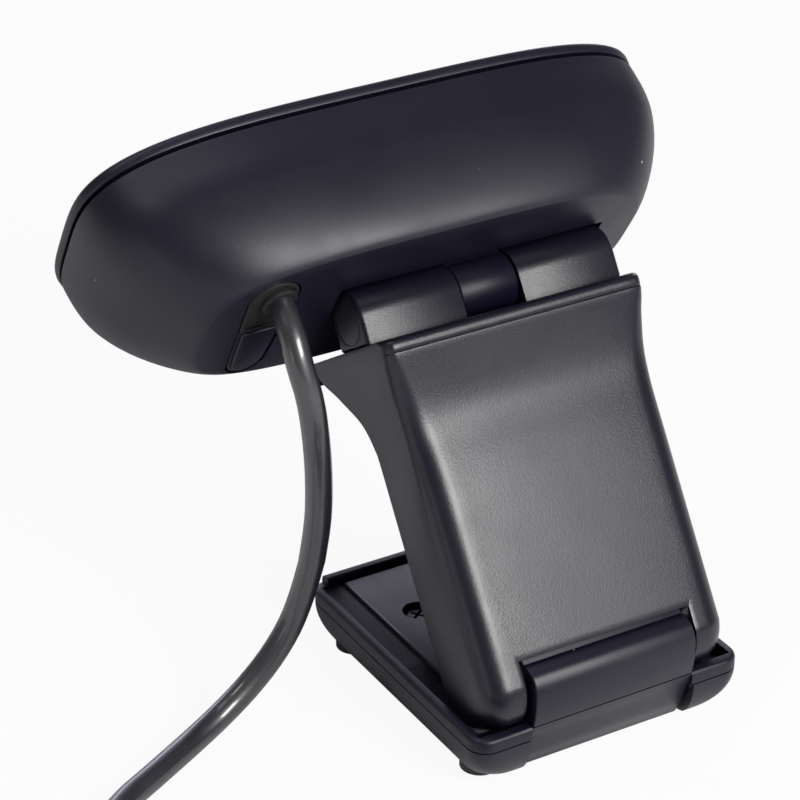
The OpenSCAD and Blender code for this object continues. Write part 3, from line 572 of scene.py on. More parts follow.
def moulded(name, colour, rough, level, grain=0.0, scale=2200.0, dust=0.02, lift=0.0, rub=0.12,
            haze=0.08, coat=0.0):
    """Moulded plastic: fine grain, slow changes in gloss, rubs and a little dust."""
    material, tree, shader = new_material(name, Specular_IOR_Level=level, Coat_Weight=coat,
                                          Coat_Roughness=0.08)
    handled = use_group(tree, "handling", Scale=60.0)
    specks = use_group(tree, "dust", Scale=420.0, Amount=dust)["Specks"]
    spark = use_group(tree, "spark_grain", Scale=scale)
    body = mix_colour(tree, spark["Peaks"], colour, [c + lift for c in colour])
    body = mix_colour(tree, maths(tree, "MULTIPLY", handled["Rub"], rub), body, RUBBED)
    body = mix_colour(tree, specks, body, DUST)
    tree.links.new(body, shader.inputs["Base Color"])
    gloss = maths(tree, "MULTIPLY_ADD", handled["Haze"], haze, rough)
    gloss = maths(tree, "MULTIPLY_ADD", specks, 0.5, gloss)
    tree.links.new(gloss, shader.inputs["Roughness"])
    bump = put(tree, "ShaderNodeBump", {"Strength": grain, "Distance": GRAIN_DEPTH},
               Height=spark["Height"])
    tree.links.new(bump.outputs[0], shader.inputs["Normal"])
    return material


def hazed(name, colour, rough, scale, dull, rubbed, **values):
    """A plain material whose haze dulls its colour and whose rubs roughen it."""
    material, tree, shader = new_material(name, **values)
    handled = use_group(tree, "handling", Scale=scale)
    body = mix_colour(tree, handled["Haze"], colour, [c * dull for c in colour])
    tree.links.new(body, shader.inputs["Base Color"])
    tree.links.new(maths(tree, "MULTIPLY_ADD", handled["Rub"], rubbed, rough), shader.inputs["Roughness"])
    return material


def metal(name, colour, rough):
    """Plated metal with fine turning marks and a little tarnish."""
    return hazed(name, colour, rough, 180.0, 0.55, 0.25, Metallic=1.0)


def clear(name, colour, rough, index):
    """Glass or clear plastic, with a faint haze."""
    return hazed(name, colour, rough, 90.0, 0.96, 0.1, Transmission_Weight=1.0, IOR=index)


def make_finish(name):
    """The material of one of the object's finishes."""
    f = settings().finish
    arm_grain = {"grain": 0.42, "scale": 5000.0, "lift": 0.006, "rub": 0.02}
    makers = {
        # colour, roughness and specular level of the plastics, and what is special to each
        "satin_black": (moulded, f.satin, 0.38, 0.5,
                        {"grain": 0.2, "scale": 5000.0, "rub": 0.02, "dust": 0.05}),
        "tongue_black": (moulded, f.satin, 0.34, 0.28, {"grain": 0.15, "scale": 5000.0, "rub": 0.02}),
        "barrel_black": (moulded, f.grain, 0.29, 0.42, arm_grain),
        "grained_black": (moulded, f.grain, 0.29, 0.6, {**arm_grain, "dust": 0.05}),
        "gloss_black": (moulded, f.gloss, 0.13, 0.55, {"haze": 0.04, "coat": 0.4}),
        "black_rubber": (moulded, f.rubber, 0.62, 0.35, {"grain": 0.9, "scale": 3000.0, "lift": 0.01}),
        "cable_jacket": (moulded, f.cable, 0.36, 1.0,
                         {"grain": 0.2, "scale": 3000.0, "rub": 0.1, "coat": 0.8}),
        "tie_black": (moulded, f.rubber, 0.5, 0.4, {"grain": 0.5, "scale": 3000.0}),
        "plug_black": (moulded, f.satin, 0.42, 0.45, {"grain": 0.5, "scale": 4000.0}),
        "plug_white": (moulded, (0.78, 0.78, 0.76), 0.4, 0.5, {"dust": 0.0}),
        "board_green": (moulded, (0.012, 0.09, 0.03), 0.35, 0.5, {"dust": 0.0, "lift": 0.02}),
        "chip_black": (moulded, (0.018, 0.018, 0.02), 0.5, 0.4, {"grain": 0.2}),
        "sensor": (moulded, (0.03, 0.02, 0.05), 0.12, 0.6, {"dust": 0.0}),
        "screw_black": (moulded, (0.012, 0.012, 0.013), 0.3, 0.6, {"haze": 0.05}),
        "steel": (metal, f.steel, 0.24, {}),
        "brass": (metal, (0.74, 0.52, 0.22), 0.28, {}),
        "optical_glass": (clear, (0.93, 0.95, 0.98), 0.02, 1.52, {}),
        "clear_plastic": (clear, (0.95, 0.95, 0.95), 0.12, 1.49, {}),
    }
    maker, *values, special = makers[name]
    return maker(name, *values, **special)


def finish(name):
    """A finish's material, made once."""
    title = "webcam_" + name
    if title not in bpy.data.materials:
        make_finish(name).name = title
    return bpy.data.materials[title]


# ---- Camera, floor and lamps ----
CAMERA_AT, CAMERA_AIM = Vector((0.2062, 0.33855, 0.2626)), Vector((0.00649, -0.00048, 0.0442))
CAMERA_ROLL, CAMERA_LENS, CAMERA_SENSOR = math.radians(0.1), 141.29, 36.0
# The floor's width, its drop under the feet and how much of it reads as white paper
FLOOR_SIZE, FLOOR_DROP, FLOOR_WHITE = 6.0, 0.0003, 0.93
MIDDLE = (0.0, 0.0, 0.05)
COOL = (0.84, 0.78, 1.0)
# Name, place, aim, size, watts and colour
LAMPS = (("key_lamp", (-0.14, 0.61, 0.42), (0.0, 0.01, 0.04), (0.34, 0.25), 4.9, (1.0, 0.98, 0.965)),
         ("side_lamp", (0.417, -0.074, 0.73), (0.04, -0.01, 0.075), (0.2, 0.16), 0.5, (1.0, 0.96, 0.92)),
         ("top_lamp", (0.05, -0.25, 0.95), MIDDLE, (0.5, 0.4), 1.1, (0.9, 0.86, 1.0)),
         ("front_lamp", (-0.45, -0.75, 0.5), MIDDLE, (0.6, 0.4), 0.35, COOL),
         ("low_lamp", (-0.27, -0.75, 0.24), MIDDLE, (1.0, 0.26), 2.2, COOL),
         ("left_lamp", (0.85, 0.3, 0.12), MIDDLE, (0.25, 0.2), 0.2, (1.0, 1.0, 1.0)))


class WEBCAM_OT_stage(bpy.types.Operator):
    """Place the camera, the pale floor and the soft lamps"""
    bl_idname = "webcam.stage"
    bl_label = "Stage and Camera"

    def add(self, name, data, place, aim):
        """A camera or lamp that looks at a point."""
        obj = bpy.data.objects.new(name, data)
        bpy.context.scene.collection.objects.link(obj)
        obj.location = place
        look = (Vector(aim) - Vector(place)).to_track_quat("-Z", "Y")
        obj.rotation_euler = look.to_euler()
        return obj

    def area(self, name, place, aim, size, power, colour):
        """A soft lamp that looks at a point."""
        light = bpy.data.lights.new(name, "AREA")
        light.shape = "RECTANGLE"
        light.size, light.size_y = size
        light.energy = power
        light.color = colour
        self.add(name, light, place, aim)

    def camera(self):
        """The camera with its small roll."""
        camera = self.add("camera", bpy.data.cameras.new("camera"), CAMERA_AT, CAMERA_AIM)
        look = (CAMERA_AIM - CAMERA_AT).to_track_quat("-Z", "Y").to_matrix().to_4x4()
        camera.rotation_euler = (look @ Matrix.Rotation(CAMERA_ROLL, 4, "Z")).to_euler()
        camera.data.lens = CAMERA_LENS
        camera.data.sensor_width = CAMERA_SENSOR
        bpy.context.scene.camera = camera

    def seen(self, tree):
        """1 where the camera sees a surface, by itself or through glass, and the glossy rays' share."""
        path = tree.nodes.new("ShaderNodeLightPath").outputs
        seen = maths(tree, "MAXIMUM", path["Is Camera Ray"], path["Is Transmission Ray"])
        return seen, path["Is Glossy Ray"]

    def floor(self):
        """A wide floor that reads as white paper and keeps the shadow, and that glows as a painted reflection
        behind and beside the object.
        """
        clear_selection()
        bpy.ops.mesh.primitive_plane_add(size=FLOOR_SIZE)
        plane = named("floor")
        plane.data.transform(Matrix.Translation((0.0, 0.0, -FLOOR_DROP)))
        material, tree, shader = new_material("floor", Roughness=0.9, Specular_IOR_Level=0.1)
        place = tree.nodes.new("ShaderNodeTexCoord").outputs["Object"]
        paper = put(tree, "ShaderNodeTexNoise", {"Scale": 40.0, "Detail": 2.0}, Vector=place)
        tone = settings().finish.floor
        shade = mix_colour(tree, paper.outputs["Fac"], tone, [c * 0.985 for c in tone])
        tree.links.new(shade, shader.inputs["Base Color"])
        # Painted reflection: glossy rays see the floor glow white behind the object and to its side, though
        # no lamp lights it more there; elsewhere they see only its lit shade
        x, y, _ = put(tree, "ShaderNodeSeparateXYZ", Vector=place).outputs
        behind = maths(tree, "MULTIPLY_ADD", maths(tree, "MULTIPLY_ADD", x, -0.8, y), 40.0, -0.4, clamp=True)
        beside = maths(tree, "MULTIPLY_ADD", x, 12.0, -0.54, clamp=True)
        painted_reflection_glow = maths(tree, "MAXIMUM", maths(tree, "MULTIPLY", behind, 0.85),
                       maths(tree, "MULTIPLY", beside, 0.5))
        seen, glossy = self.seen(tree)
        seen = maths(tree, "MAXIMUM", seen, maths(tree, "MULTIPLY", glossy, painted_reflection_glow))
        glow = put(tree, "ShaderNodeEmission", {"Color": (1.0, 1.0, 1.0, 1.0), "Strength": 1.0})
        mix = tree.nodes.new("ShaderNodeMixShader")
        for socket, source in zip(mix.inputs, (maths(tree, "MULTIPLY", seen, FLOOR_WHITE), shader.outputs[0],
                                               glow.outputs[0])):
            tree.links.new(source, socket)
        tree.links.new(mix.outputs[0], tree.nodes["Material Output"].inputs["Surface"])
        plane.data.materials.append(material)

    def world(self):
        """White where the camera looks at it, and soft grey light from it."""
        world = bpy.data.worlds.new("studio")
        bpy.context.scene.world = world
        world.use_nodes = True
        tree = world.node_tree
        seen, glossy = self.seen(tree)
        level = maths(tree, "MAXIMUM", seen, maths(tree, "MULTIPLY_ADD", glossy, 0.1, 0.1))
        background = tree.nodes["Background"]
        tree.links.new(level, background.inputs["Strength"])
        background.inputs["Color"].default_value = (1.0, 1.0, 1.0, 1.0)

    def execute(self, context):
        context.scene.view_settings.view_transform = "Standard"
        self.camera()
        self.floor()
        self.world()
        for lamp in LAMPS:
            self.area(*lamp)
        return {"FINISHED"}


# ---- Cables ----
# Given points of the cable, in metres, from the housing to the coil and on to the plug.
UPPER_ROUTE = [(0.025, -0.001483, 0.064028), (0.0254, 0.0024, 0.061), (0.0254, 0.0045, 0.0573),
               (0.0247, 0.006, 0.0523), (0.0241, 0.0065, 0.046), (0.0235, 0.006, 0.0391),
               (0.0232, 0.005, 0.032), (0.0237, 0.004, 0.0249)]
LOWER_ROUTE = [(0.0237, 0.004, 0.0249), (0.0252, 0.003, 0.0181), (0.028, 0.0025, 0.0119),
               (0.0329, 0.0025, 0.0066), (0.0386, 0.0034, 0.0032), (0.0443, 0.0056, 0.00195),
               (0.0536, 0.0107, 0.00195), (0.059, 0.0137, 0.00195), (0.0632, 0.0172, 0.00195),
               (0.0658, 0.0217, 0.00195), (0.0668, 0.0268, 0.00195), (0.0673, 0.04, 0.00195),
               (0.0673, 0.078, 0.00195)]
TAIL_ROUTE = [(0.03174, 0.10784, 0.00585), (0.0245, 0.1062, 0.0057), (0.0175, 0.1041, 0.0046),
              (0.011, 0.1024, 0.004), (0.008, 0.102, 0.004), (0.005, 0.102, 0.004)]
COIL_MIDDLE = (0.037, 0.078)
# Where the last turn ends, how far apart its points are, and the last share of a turn, in which the
# cable steps over to the next one
COIL_END, COIL_STEP, STEP_OVER = 100.0, 15.0, 0.16


def coil_points():
    """The coil's turns: inwards on the table, then outwards on top of them."""
    s = settings().cable
    d = s.diameter * MM
    outwards = [s.coil * MM / 2 + d * (i - (s.columns - 1) / 2) for i in range(s.columns)]
    radii = []
    for layer in range(s.layers):
        radii += outwards if layer % 2 else outwards[::-1]
    total = 360.0 * (len(radii) - 1) + COIL_END
    count = int(total / COIL_STEP)
    points = []
    for i in range(1, count):
        turned = total * i / count
        turn = int(turned / 360.0)
        late = max(0.0, (turned / 360.0 - turn - 1 + STEP_OVER) / STEP_OVER)
        ease = late * late * (3 - 2 * late)
        radius = radii[turn]
        layer = turn // s.columns
        if turn + 1 < len(radii):
            radius += (radii[turn + 1] - radius) * ease
            layer += ease if (turn + 1) % s.columns == 0 else 0.0
        a = math.radians(turned)
        points.append(Vector((COIL_MIDDLE[0] + radius * math.cos(a), COIL_MIDDLE[1] + radius * math.sin(a),
                              d * (0.5 + layer))))
    return points


def even_points(route, count):
    """Points at even distances along the smooth curve through a route."""
    points = catmull(route, 12)
    lengths = [0.0]
    for a, b in zip(points, points[1:]):
        lengths.append(lengths[-1] + (b - a).length)
    result, j = [], 0
    for i in range(count):
        want = lengths[-1] * i / (count - 1)
        while j < len(lengths) - 2 and lengths[j + 1] < want:
            j += 1
        part = (want - lengths[j]) / max(lengths[j + 1] - lengths[j], 1e-9)
        result.append(points[j].lerp(points[j + 1], part))
    return result


class WEBCAM_OT_cables(bpy.types.Operator):
    """Lay the cable from the housing to its coil and plug"""
    bl_idname = "webcam.cables"
    bl_label = "Cable"

    def tube(self, name, path, fine, sides):
        """A round cable along its points, as a closed mesh."""
        clear_selection()
        curve = bpy.data.curves.new(name, "CURVE")
        curve.dimensions = "3D"
        curve.bevel_depth = settings().cable.diameter * MM / 2
        curve.bevel_resolution = sides // 4 - 1
        curve.use_fill_caps = True
        line = catmull(path, fine)
        spline = curve.splines.new("POLY")
        spline.points.add(len(line) - 1)
        for point, place in zip(spline.points, line):
            point.co = (*place, 1.0)
        obj = bpy.data.objects.new(name, curve)
        bpy.context.scene.collection.objects.link(obj)
        pick(obj)
        bpy.ops.object.convert(target="MESH")
        return dress(named(name), "cable_jacket", 50.0)

    def declare(self, cable, path, **rest):
        """Does nothing: the cable's route, length and thickness are not passed on."""

    def execute(self, context):
        upper = even_points(UPPER_ROUTE, 17)
        cable = self.tube("cable_upper", upper, 4, 24)
        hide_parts("cord_upper")
        self.declare(cable, upper, far_end="object", lay="loose")
        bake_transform(cable)
        lower = even_points(LOWER_ROUTE, 22) + coil_points() + even_points(TAIL_ROUTE, 13)
        cable = self.tube("cable_lower", lower, 3, 16)
        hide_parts("cord_lower", "usb_coil", "cord_tail")
        plug = [bpy.data.objects[n] for n in ("plug_grip", "plug_shell", "plug_insert", "coil_tie")]
        self.declare(cable, lower, far_end="plug", lay="coiled", with_pieces=plug)
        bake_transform(cable)
        return {"FINISHED"}


# ---- Solids of the frame that stay ----
class WEBCAM_OT_inner_parts(bpy.types.Operator):
    """Give each solid of the frame its finish"""
    bl_idname = "webcam.inner_parts"
    bl_label = "Finishes of the Solids"

    def execute(self, context):
        slots = {part["node"]: part["material_slot"] for part in frame["record"]["subparts"]}
        for name in frame["nodes"]:
            mesh = bpy.data.objects[name].data
            mesh.materials.clear()
            mesh.materials.append(finish(slots[name]))
        return {"FINISHED"}


# ---- Camera head ----
# The outline's squareness, the dome's fullness curve and the points of an outline
SQUARENESS, DOME_POWER, RING_POINTS = 3.55, 1.135, 144
# The gland's two circles and the cable's hole on the rear face, from the middle of the front
GLAND = [(26.0, 8.8, 4.2), (26.0, -7.5, 3.2)]
GLAND_SPLIT = 1.4
CORD_HOLE = (25.0, 8.2)
# Inset of the front panel from the head's outline, and width of the bezel's rim
PANEL_INSET, RIM_IN = 1.6, 1.5
# Place of the front panel's back, from the seam
PANEL_BACK = -0.6
# Half width of the sound slots, half their height, their spacing and their place on the panel
SLOT_R, SLOT_HALF, SLOT_STEP, SLOT_X = 0.35, 3.0, 1.6, 33.0


def seam_y():
    """Place of the seam along the head's depth."""
    return -(settings().head.face_depth + settings().clip.gap)


def mid_z():
    """Height of the front's middle under the tilt axis."""
    return -settings().clip.axis_rise


def head_ring(depth, inset, count=RING_POINTS, y=None, lean=0.0):
    """One outline of the head at a depth behind the seam; lean tips it with the rear face."""
    s = settings().head
    part = min(max(depth, 0.0), s.dome_depth) / s.dome_depth
    drawn = 1 - (1.0 - part * part) ** DOME_POWER
    half = s.width / 2 - s.side_draw * drawn - inset
    tall = s.height / 2 - s.top_draw * drawn - inset
    up = mid_z() + s.dome_rise * drawn
    place = seam_y() + depth if y is None else y
    ring = []
    for i in range(count):
        a = 2 * math.pi * (i + 0.5) / count
        z = up + tall * signed_power(math.sin(a), 2 / SQUARENESS)
        ring.append((half * signed_power(math.cos(a), 2 / SQUARENESS), place + lean * z, z))
    return ring


def front_loft(name, profile):
    """A loft of the head's outline through depths from the seam and insets."""
    return loft(name, [head_ring(0.0, inset, y=seam_y() + y) for y, inset in profile])


def face_turn():
    """From the flat rear face to the head's axes."""
    shift = Matrix.Translation((0.0, -settings().clip.gap, 0.0))
    return shift @ Matrix.Rotation(-settings().head.face_slope, 4, "X")


def hull_outline(circles, grow):
    """The outline round circles, as points in order."""
    angles = [2 * math.pi * k / 48 for k in range(48)]
    points = sorted({(round(x + (r + grow) * math.cos(a), 5), round(z + (r + grow) * math.sin(a), 5))
                     for x, z, r in circles for a in angles})
    outline = []
    for run in (points, points[::-1]):
        side = []
        for p in run:
            while len(side) > 1 and ((side[-1][0] - side[-2][0]) * (p[1] - side[-2][1])
                                     - (side[-1][1] - side[-2][1]) * (p[0] - side[-2][0])) <= 1e-9:
                side.pop()
            side.append(p)
        outline += side[:-1]
    return outline


def gland_slab(name, grow, y0, y1, low=-40.0, high=40.0):
    """A slab with the gland's outline on the rear face, between two heights."""
    outline = [(x, z + mid_z()) for x, z in hull_outline(GLAND, grow)]
    obj = slab(name, outline, y0, y1)
    for height, up in ((high, 1.0), (low, -1.0)):
        slice_off(obj, (0.0, 0.0, height + mid_z()), (0.0, 0.0, up))
    return obj


class WEBCAM_OT_housing(bpy.types.Operator):
    """Loft the domed rear housing and cut its hinge pocket and cable recess"""
    bl_idname = "webcam.housing"
    bl_label = "Rear Housing"

    def outside(self):
        """The outside swells a little, then rolls over into the leaning rear face."""
        s = settings().head
        deep, start = s.face_depth, s.seam + 0.5
        straight = deep - s.shoulder
        steps = [(s.seam, s.groove), (s.seam + 0.3, s.groove), (s.seam + 0.32, 0.08), (s.seam + 0.38, 0.02),
                 (start, 0.0)]
        steps += [(start + (straight - start) * k / 22, 0.0) for k in range(1, 23)]
        for k in range(1, 15):
            a = math.pi / 2 * k / 14
            steps.append((deep - s.shoulder * (1 - math.sin(a)), s.shoulder_in * (1 - math.cos(a))))
        rings = []
        for depth, inset in steps:
            swell = s.swell * math.sin(math.pi / 2 * min(1.0, depth / straight)) ** 2
            narrow = 1 - 0.6 * swell / (s.width / 2)
            ring = head_ring(depth, inset - swell, lean=math.tan(s.face_slope) * depth / deep)
            rings.append([(x * narrow, y, z) for x, y, z in ring])
        return loft("housing", rings)

    def inside(self):
        """The hollow, cut flat behind the rear face."""
        s = settings().head
        first, last, steps = -1.0, s.dome_depth * 0.985 - s.wall, 14
        depths = [first + (last - first) * math.sin(math.pi / 2 * k / steps) for k in range(steps + 1)]
        obj = loft("inner", [head_ring(depth, s.wall + 0.3, 72) for depth in depths])
        direction = Matrix.Rotation(-s.face_slope, 3, "X") @ Vector((0.0, 1.0, 0.0))
        return slice_off(obj, Vector((0.0, -settings().clip.gap, 0.0)) - s.wall * direction, direction)

    def execute(self, context):
        s, c = settings().head, settings().clip
        shell, inner = self.outside(), self.inside()
        radius, half = c.barrel + BARREL_ROOM, c.span / 2 + BARREL_ROOM
        x = JOINTS["head_tilt"].x / MM
        room = radius + s.wall
        combine(inner, block("keep", (x - half - s.wall, -room, -room), (x + half + s.wall, 10.0, room)))
        combine(shell, inner)
        drill(shell, "x", radius, x - half, x + half, sides=96)
        neck = c.tongue / 2 + 0.1
        combine(shell, block("neck", (x - neck, -20.0, -3.1), (x + neck, 0.0, 3.1)))
        recess = gland_slab("recess", 0.0, -5.0, 5.0)
        recess.data.transform(face_turn())
        combine(shell, recess)
        finish_piece(shell, "head", "satin_black", "rear_housing")
        return {"FINISHED"}


class WEBCAM_OT_front(bpy.types.Operator):
    """Build the bezel and the crowned front panel with its openings"""
    bl_idname = "webcam.front"
    bl_label = "Front Bezel and Panel"

    def execute(self, context):
        s = settings().head
        front = -s.bezel
        shares = [(0.3, -0.12), (0.55, -0.17), (0.78, -0.1), (0.91, 0.08), (0.98, 0.35), (1.0, 0.75)]
        bezel = front_loft("bezel", [(0.0, 0.06), (-0.12, -0.02)] + [(front * f, n) for f, n in shares])
        combine(bezel, front_loft("rim", [(front - 1.0, RIM_IN), (PANEL_BACK, RIM_IN)]))
        combine(bezel, front_loft("hole", [(-2.0, 3.0), (3.0, 3.0)]))
        finish_piece(bezel, "head", "satin_black", "front_bezel")
        top = front - s.crown
        crown = [(PANEL_BACK, 0.0), (front, 0.0), (front - 0.12, 0.05), (top * 0.93, 0.4), (top * 0.985, 1.0),
                 (top, 2.2)]
        panel = front_loft("panel", [(y, PANEL_INSET + inset) for y, inset in crown])
        self.openings(panel)
        finish_piece(panel, "head", "gloss_black", "front_panel")
        return {"FINISHED"}

    def openings(self, panel):
        """The lens, the lights and the sound slots are cut through the panel."""
        y, z = seam_y(), mid_z()
        drill(panel, "y", node_size("lens_ring", 0) / 2 - 1.0, -10.0, 10.0, (0.0, y, z), 96)
        light = node_size("light_guides", 0) / 2 - 1.5
        for side in (-1, 1):
            drill(panel, "y", 1.0, -10.0, 10.0, (side * light, y, z))
            for k in range(-2, 3):
                x = side * SLOT_X + SLOT_STEP * k
                ends = (arc(SLOT_R, 0.0, 180.0, 8, (x, z + SLOT_HALF))
                        + arc(SLOT_R, 180.0, 360.0, 8, (x, z - SLOT_HALF)))
                combine(panel, slab("slot", ends, y - 10.0, y + 10.0))


class WEBCAM_OT_lens(bpy.types.Operator):
    """Spin the lens's trim ring"""
    bl_idname = "webcam.lens"
    bl_label = "Lens"

    def execute(self, context):
        outer = node_size("lens_ring", 0) / 2
        front = -(settings().head.bezel + settings().head.crown)
        # How far in from the rim, and how far behind the panel's front
        profile = [(0.0, 0.1), (0.15, -0.55), (0.7, -0.95), (1.5, -1.0), (2.4, -0.6), (3.3, 0.1), (3.3, 0.9),
                   (1.05, 0.9), (1.05, 0.1)]
        obj = outline_object("lens_trim", [(outer - r, front + y, 0.0) for r, y in profile])
        mode("EDIT")
        bpy.ops.mesh.select_all(action="SELECT")
        bpy.ops.mesh.spin(steps=96, angle=2 * math.pi, center=(0.0, 0.0, 0.0), axis=(0.0, 1.0, 0.0))
        mode("OBJECT")
        obj.data.transform(Matrix.Translation((0.0, seam_y(), mid_z())))
        finish_piece(recalculate(obj), "head", "gloss_black", "lens_ring")
        return {"FINISHED"}


class WEBCAM_OT_gland(bpy.types.Operator):
    """Shape the rubber gland round the cable and its lower plug"""
    bl_idname = "webcam.gland"
    bl_label = "Cable Gland"

    def execute(self, context):
        wall, radius = settings().head.wall, settings().cable.diameter / 2
        hole = (CORD_HOLE[0], 0.0, CORD_HOLE[1] + mid_z())
        upper = round_edges(gland_slab("gland", -0.3, -wall, 0.12, low=GLAND_SPLIT + 0.1), 0.22)
        combine(upper, gland_slab("dish", -0.85, -0.12, 1.0, low=GLAND_SPLIT + 0.65))
        collar = drum("collar", "y", radius + 0.75, -0.3, 0.6, hole, 48)
        combine(upper, round_edges(collar, 0.3), "UNION")
        drill(upper, "y", radius - 0.15, -6.0, 0.0, hole)
        lower = round_edges(gland_slab("plug_cover", -0.3, -wall, -0.1, high=GLAND_SPLIT - 0.1), 0.15, 2)
        pad = gland_slab("plug_pad", -0.95, -0.4, 0.2, high=GLAND_SPLIT - 0.75)
        combine(lower, round_edges(pad, 0.25), "UNION")
        for obj, slot, node in ((upper, "black_rubber", "cable_gland"),
                                (lower, "satin_black", "gland_cover")):
            obj.data.transform(face_turn())
            finish_piece(obj, "head", slot, node)
        return {"FINISHED"}


# ---- Tilt hinge ----
# Radii of the pins of both hinges, the room round them, and the radius of the foot's knuckle
TILT_PIN_R, FOOT_PIN_R, PIN_PLAY, KNUCKLE_R = 1.3, 1.2, 0.05, 5.75
# Depth of the caps' seats and the caps, and the room in the head round the barrels
CAP_SEAT, CAP_T, BARREL_ROOM = 0.75, 0.7, 0.5


class WEBCAM_OT_tilt_hinge(bpy.types.Operator):
    """Model the grained barrels, their end caps and the head's tongue"""
    bl_idname = "webcam.tilt_hinge"
    bl_label = "Tilt Hinge"

    def barrel(self, x0, x1, side):
        """One barrel: a round rod on a foot, with a smooth chamfer at its outer end."""
        c = settings().clip
        outline = [(c.barrel, -c.rise)] + arc(c.barrel, 0.0, 180.0, 56) + [(-c.barrel, -c.rise)]
        obj = prism("barrel", outline, x0, x1)
        outer, inner = (x1, x0) if side > 0 else (x0, x1)
        for end, width, segments in ((outer, 0.75, 3), (inner, 0.12, 2)):
            bevel_where(obj, lambda p: near(p.x, end) and p.z > -c.rise - 0.01, width, segments)
        seat = outer - side * CAP_SEAT
        drill(obj, "x", c.cap + 0.05, min(outer, seat), max(outer, seat) + 0.001, sides=72)
        drill(obj, "x", TILT_PIN_R, x0 - 1, x1 + 1)
        return obj

    def tongue(self):
        """The head's tongue: a round nose on a neck."""
        c = settings().clip
        half, deep = c.tongue / 2, c.barrel + BARREL_ROOM + settings().head.wall
        x = JOINTS["head_tilt"].x / MM
        outline = arc(c.barrel - 0.2, -134.0, 134.0, 64) + [(-deep, 3.0), (-deep, -3.0)]
        obj = round_edges(prism("tongue", outline, x - half, x + half), 0.2, 2, 60)
        drill(obj, "x", TILT_PIN_R + PIN_PLAY, x - half - 1, x + half + 1)
        finish_piece(obj, "head", "satin_black", "tilt_bracket", look="tongue_black")

    def execute(self, context):
        c = settings().clip
        half, inner = c.span / 2, c.tongue / 2 + c.play
        left = self.barrel(inner, half, 1)
        combine(left, self.barrel(-half, -inner, -1), "UNION")
        left.name = "hinge_barrels_skin"
        finish_piece(left, "tilt", "grained_black", "hinge_barrels", look="barrel_black")
        for side, name in ((-1, "pin_cap_right"), (1, "pin_cap_left")):
            ends = sorted((side * (half - CAP_T), side * half))
            cap = drum(name, "x", c.cap, *ends, sides=72)
            finish_piece(round_edges(cap, 0.15, 2), "tilt", "gloss_black", "pin_caps", look="satin_black")
        self.tongue()
        return {"FINISHED"}


# ---- Clip arm ----
# Holes of the cover's screws: radius, and distance to each side and up from the foot hinge
SCREW_R, SCREW_AT = 1.0, (13.0, 13.0)


def lobe_radius():
    """Radius of the arm's rounded lower end."""
    c = settings().clip
    return max(c.back, c.deep - c.back) + 0.4


def arm_rows():
    """Height over the foot hinge, half width, edge rounding and bulge of the arm's back."""
    c = settings().clip
    top, half, wide = c.length, c.width / 2, c.plate_width / 2
    # The straight part and the flare: height, widening, rounding, bulge
    rows = [(0.0, half, 3.8, -0.25), (14.0, half, 3.8, -0.33)]
    rows += [(top - down, half + out, soft, bulge) for down, out, soft, bulge in
             ((24, 0, 3.8, -0.45), (19, 0, 3.8, -0.62), (16, 0.02, 3.7, -0.8), (13.5, 0.1, 3.5, -0.88),
              (11.5, 0.22, 3.3, -0.78), (9.5, 0.42, 3.0, -0.52), (7.5, 0.72, 2.7, -0.16))]
    rows += [(top - down, wide - short, soft, bulge) for down, short, soft, bulge in
             ((5.5, 0.35, 2.3, 0.25), (3.8, 0.1, 1.9, 0.62), (2.8, 0.02, 1.7, 0.84))]
    # The groove under the bead and the bead itself
    rows += [(top - down, wide, 1.6, bulge) for down, bulge in
             ((2.3, 0.92), (2.15, 0.9), (2.0, 0.82), (1.85, 0.95), (1.6, 1.03), (1.15, 1.05), (0.8, 0.99),
              (0.55, 0.84), (0.35, 0.56), (0.2, 0.2), (0.08, -0.3), (0, -0.8), (-1, -1.2))]
    fine = catmull([row[:3] for row in rows], 4)
    bulges = catmull([(row[0], row[3], 0.0) for row in rows], 4)
    return [(p.x, p.y, p.z, b.y) for p, b in zip(fine, bulges)]


def along_table(rows, z):
    """Values between the rows of a table."""
    if z <= rows[0][0]:
        return rows[0][1:]
    for low, high in zip(rows, rows[1:]):
        if z <= high[0]:
            t = (z - low[0]) / (high[0] - low[0])
            return tuple(a + (b - a) * t for a, b in zip(low[1:], high[1:]))
    return rows[-1][1:]


def arm_ring(z, rows):
    """One outline of the arm at a height: straight sides, round rear edges and a crowned back."""
    c = settings().clip
    wide, soft, bulge = along_table(rows, z)
    radius = lobe_radius()
    crown = 0.16 * min(1.0, max(0.0, (c.length - 3.0 - z) / 12.0))
    first = math.asin(max(0.0, 1 - (radius + z) / soft)) if z < 0 else 0.0
    corner = []
    for k in range(11):
        t = first + (math.pi / 2 - first) * k / 10
        s = soft * (1 - math.sin(t))
        y = c.back - s
        if z < 0:
            y = min(y, math.sqrt(max(0.0001, (radius - s) ** 2 - z * z)))
        corner.append((wide - soft * (1 - math.cos(t)), y))
    x, y = corner[-1]
    ring = []
    for x, y in corner + [(x * share, y) for share in (0.92, 0.8, 0.62, 0.4, 0.15)]:
        fade = max(0.0, 1 - (c.back - y) / 3.0)
        ring.append((x, y + bulge * fade + crown * fade * -abs(x / wide) ** 3))
    ring.insert(0, (ring[0][0], -c.reach - 1.0))
    return [(x, y, z) for x, y in ring + [(-x, y) for x, y in reversed(ring)]]


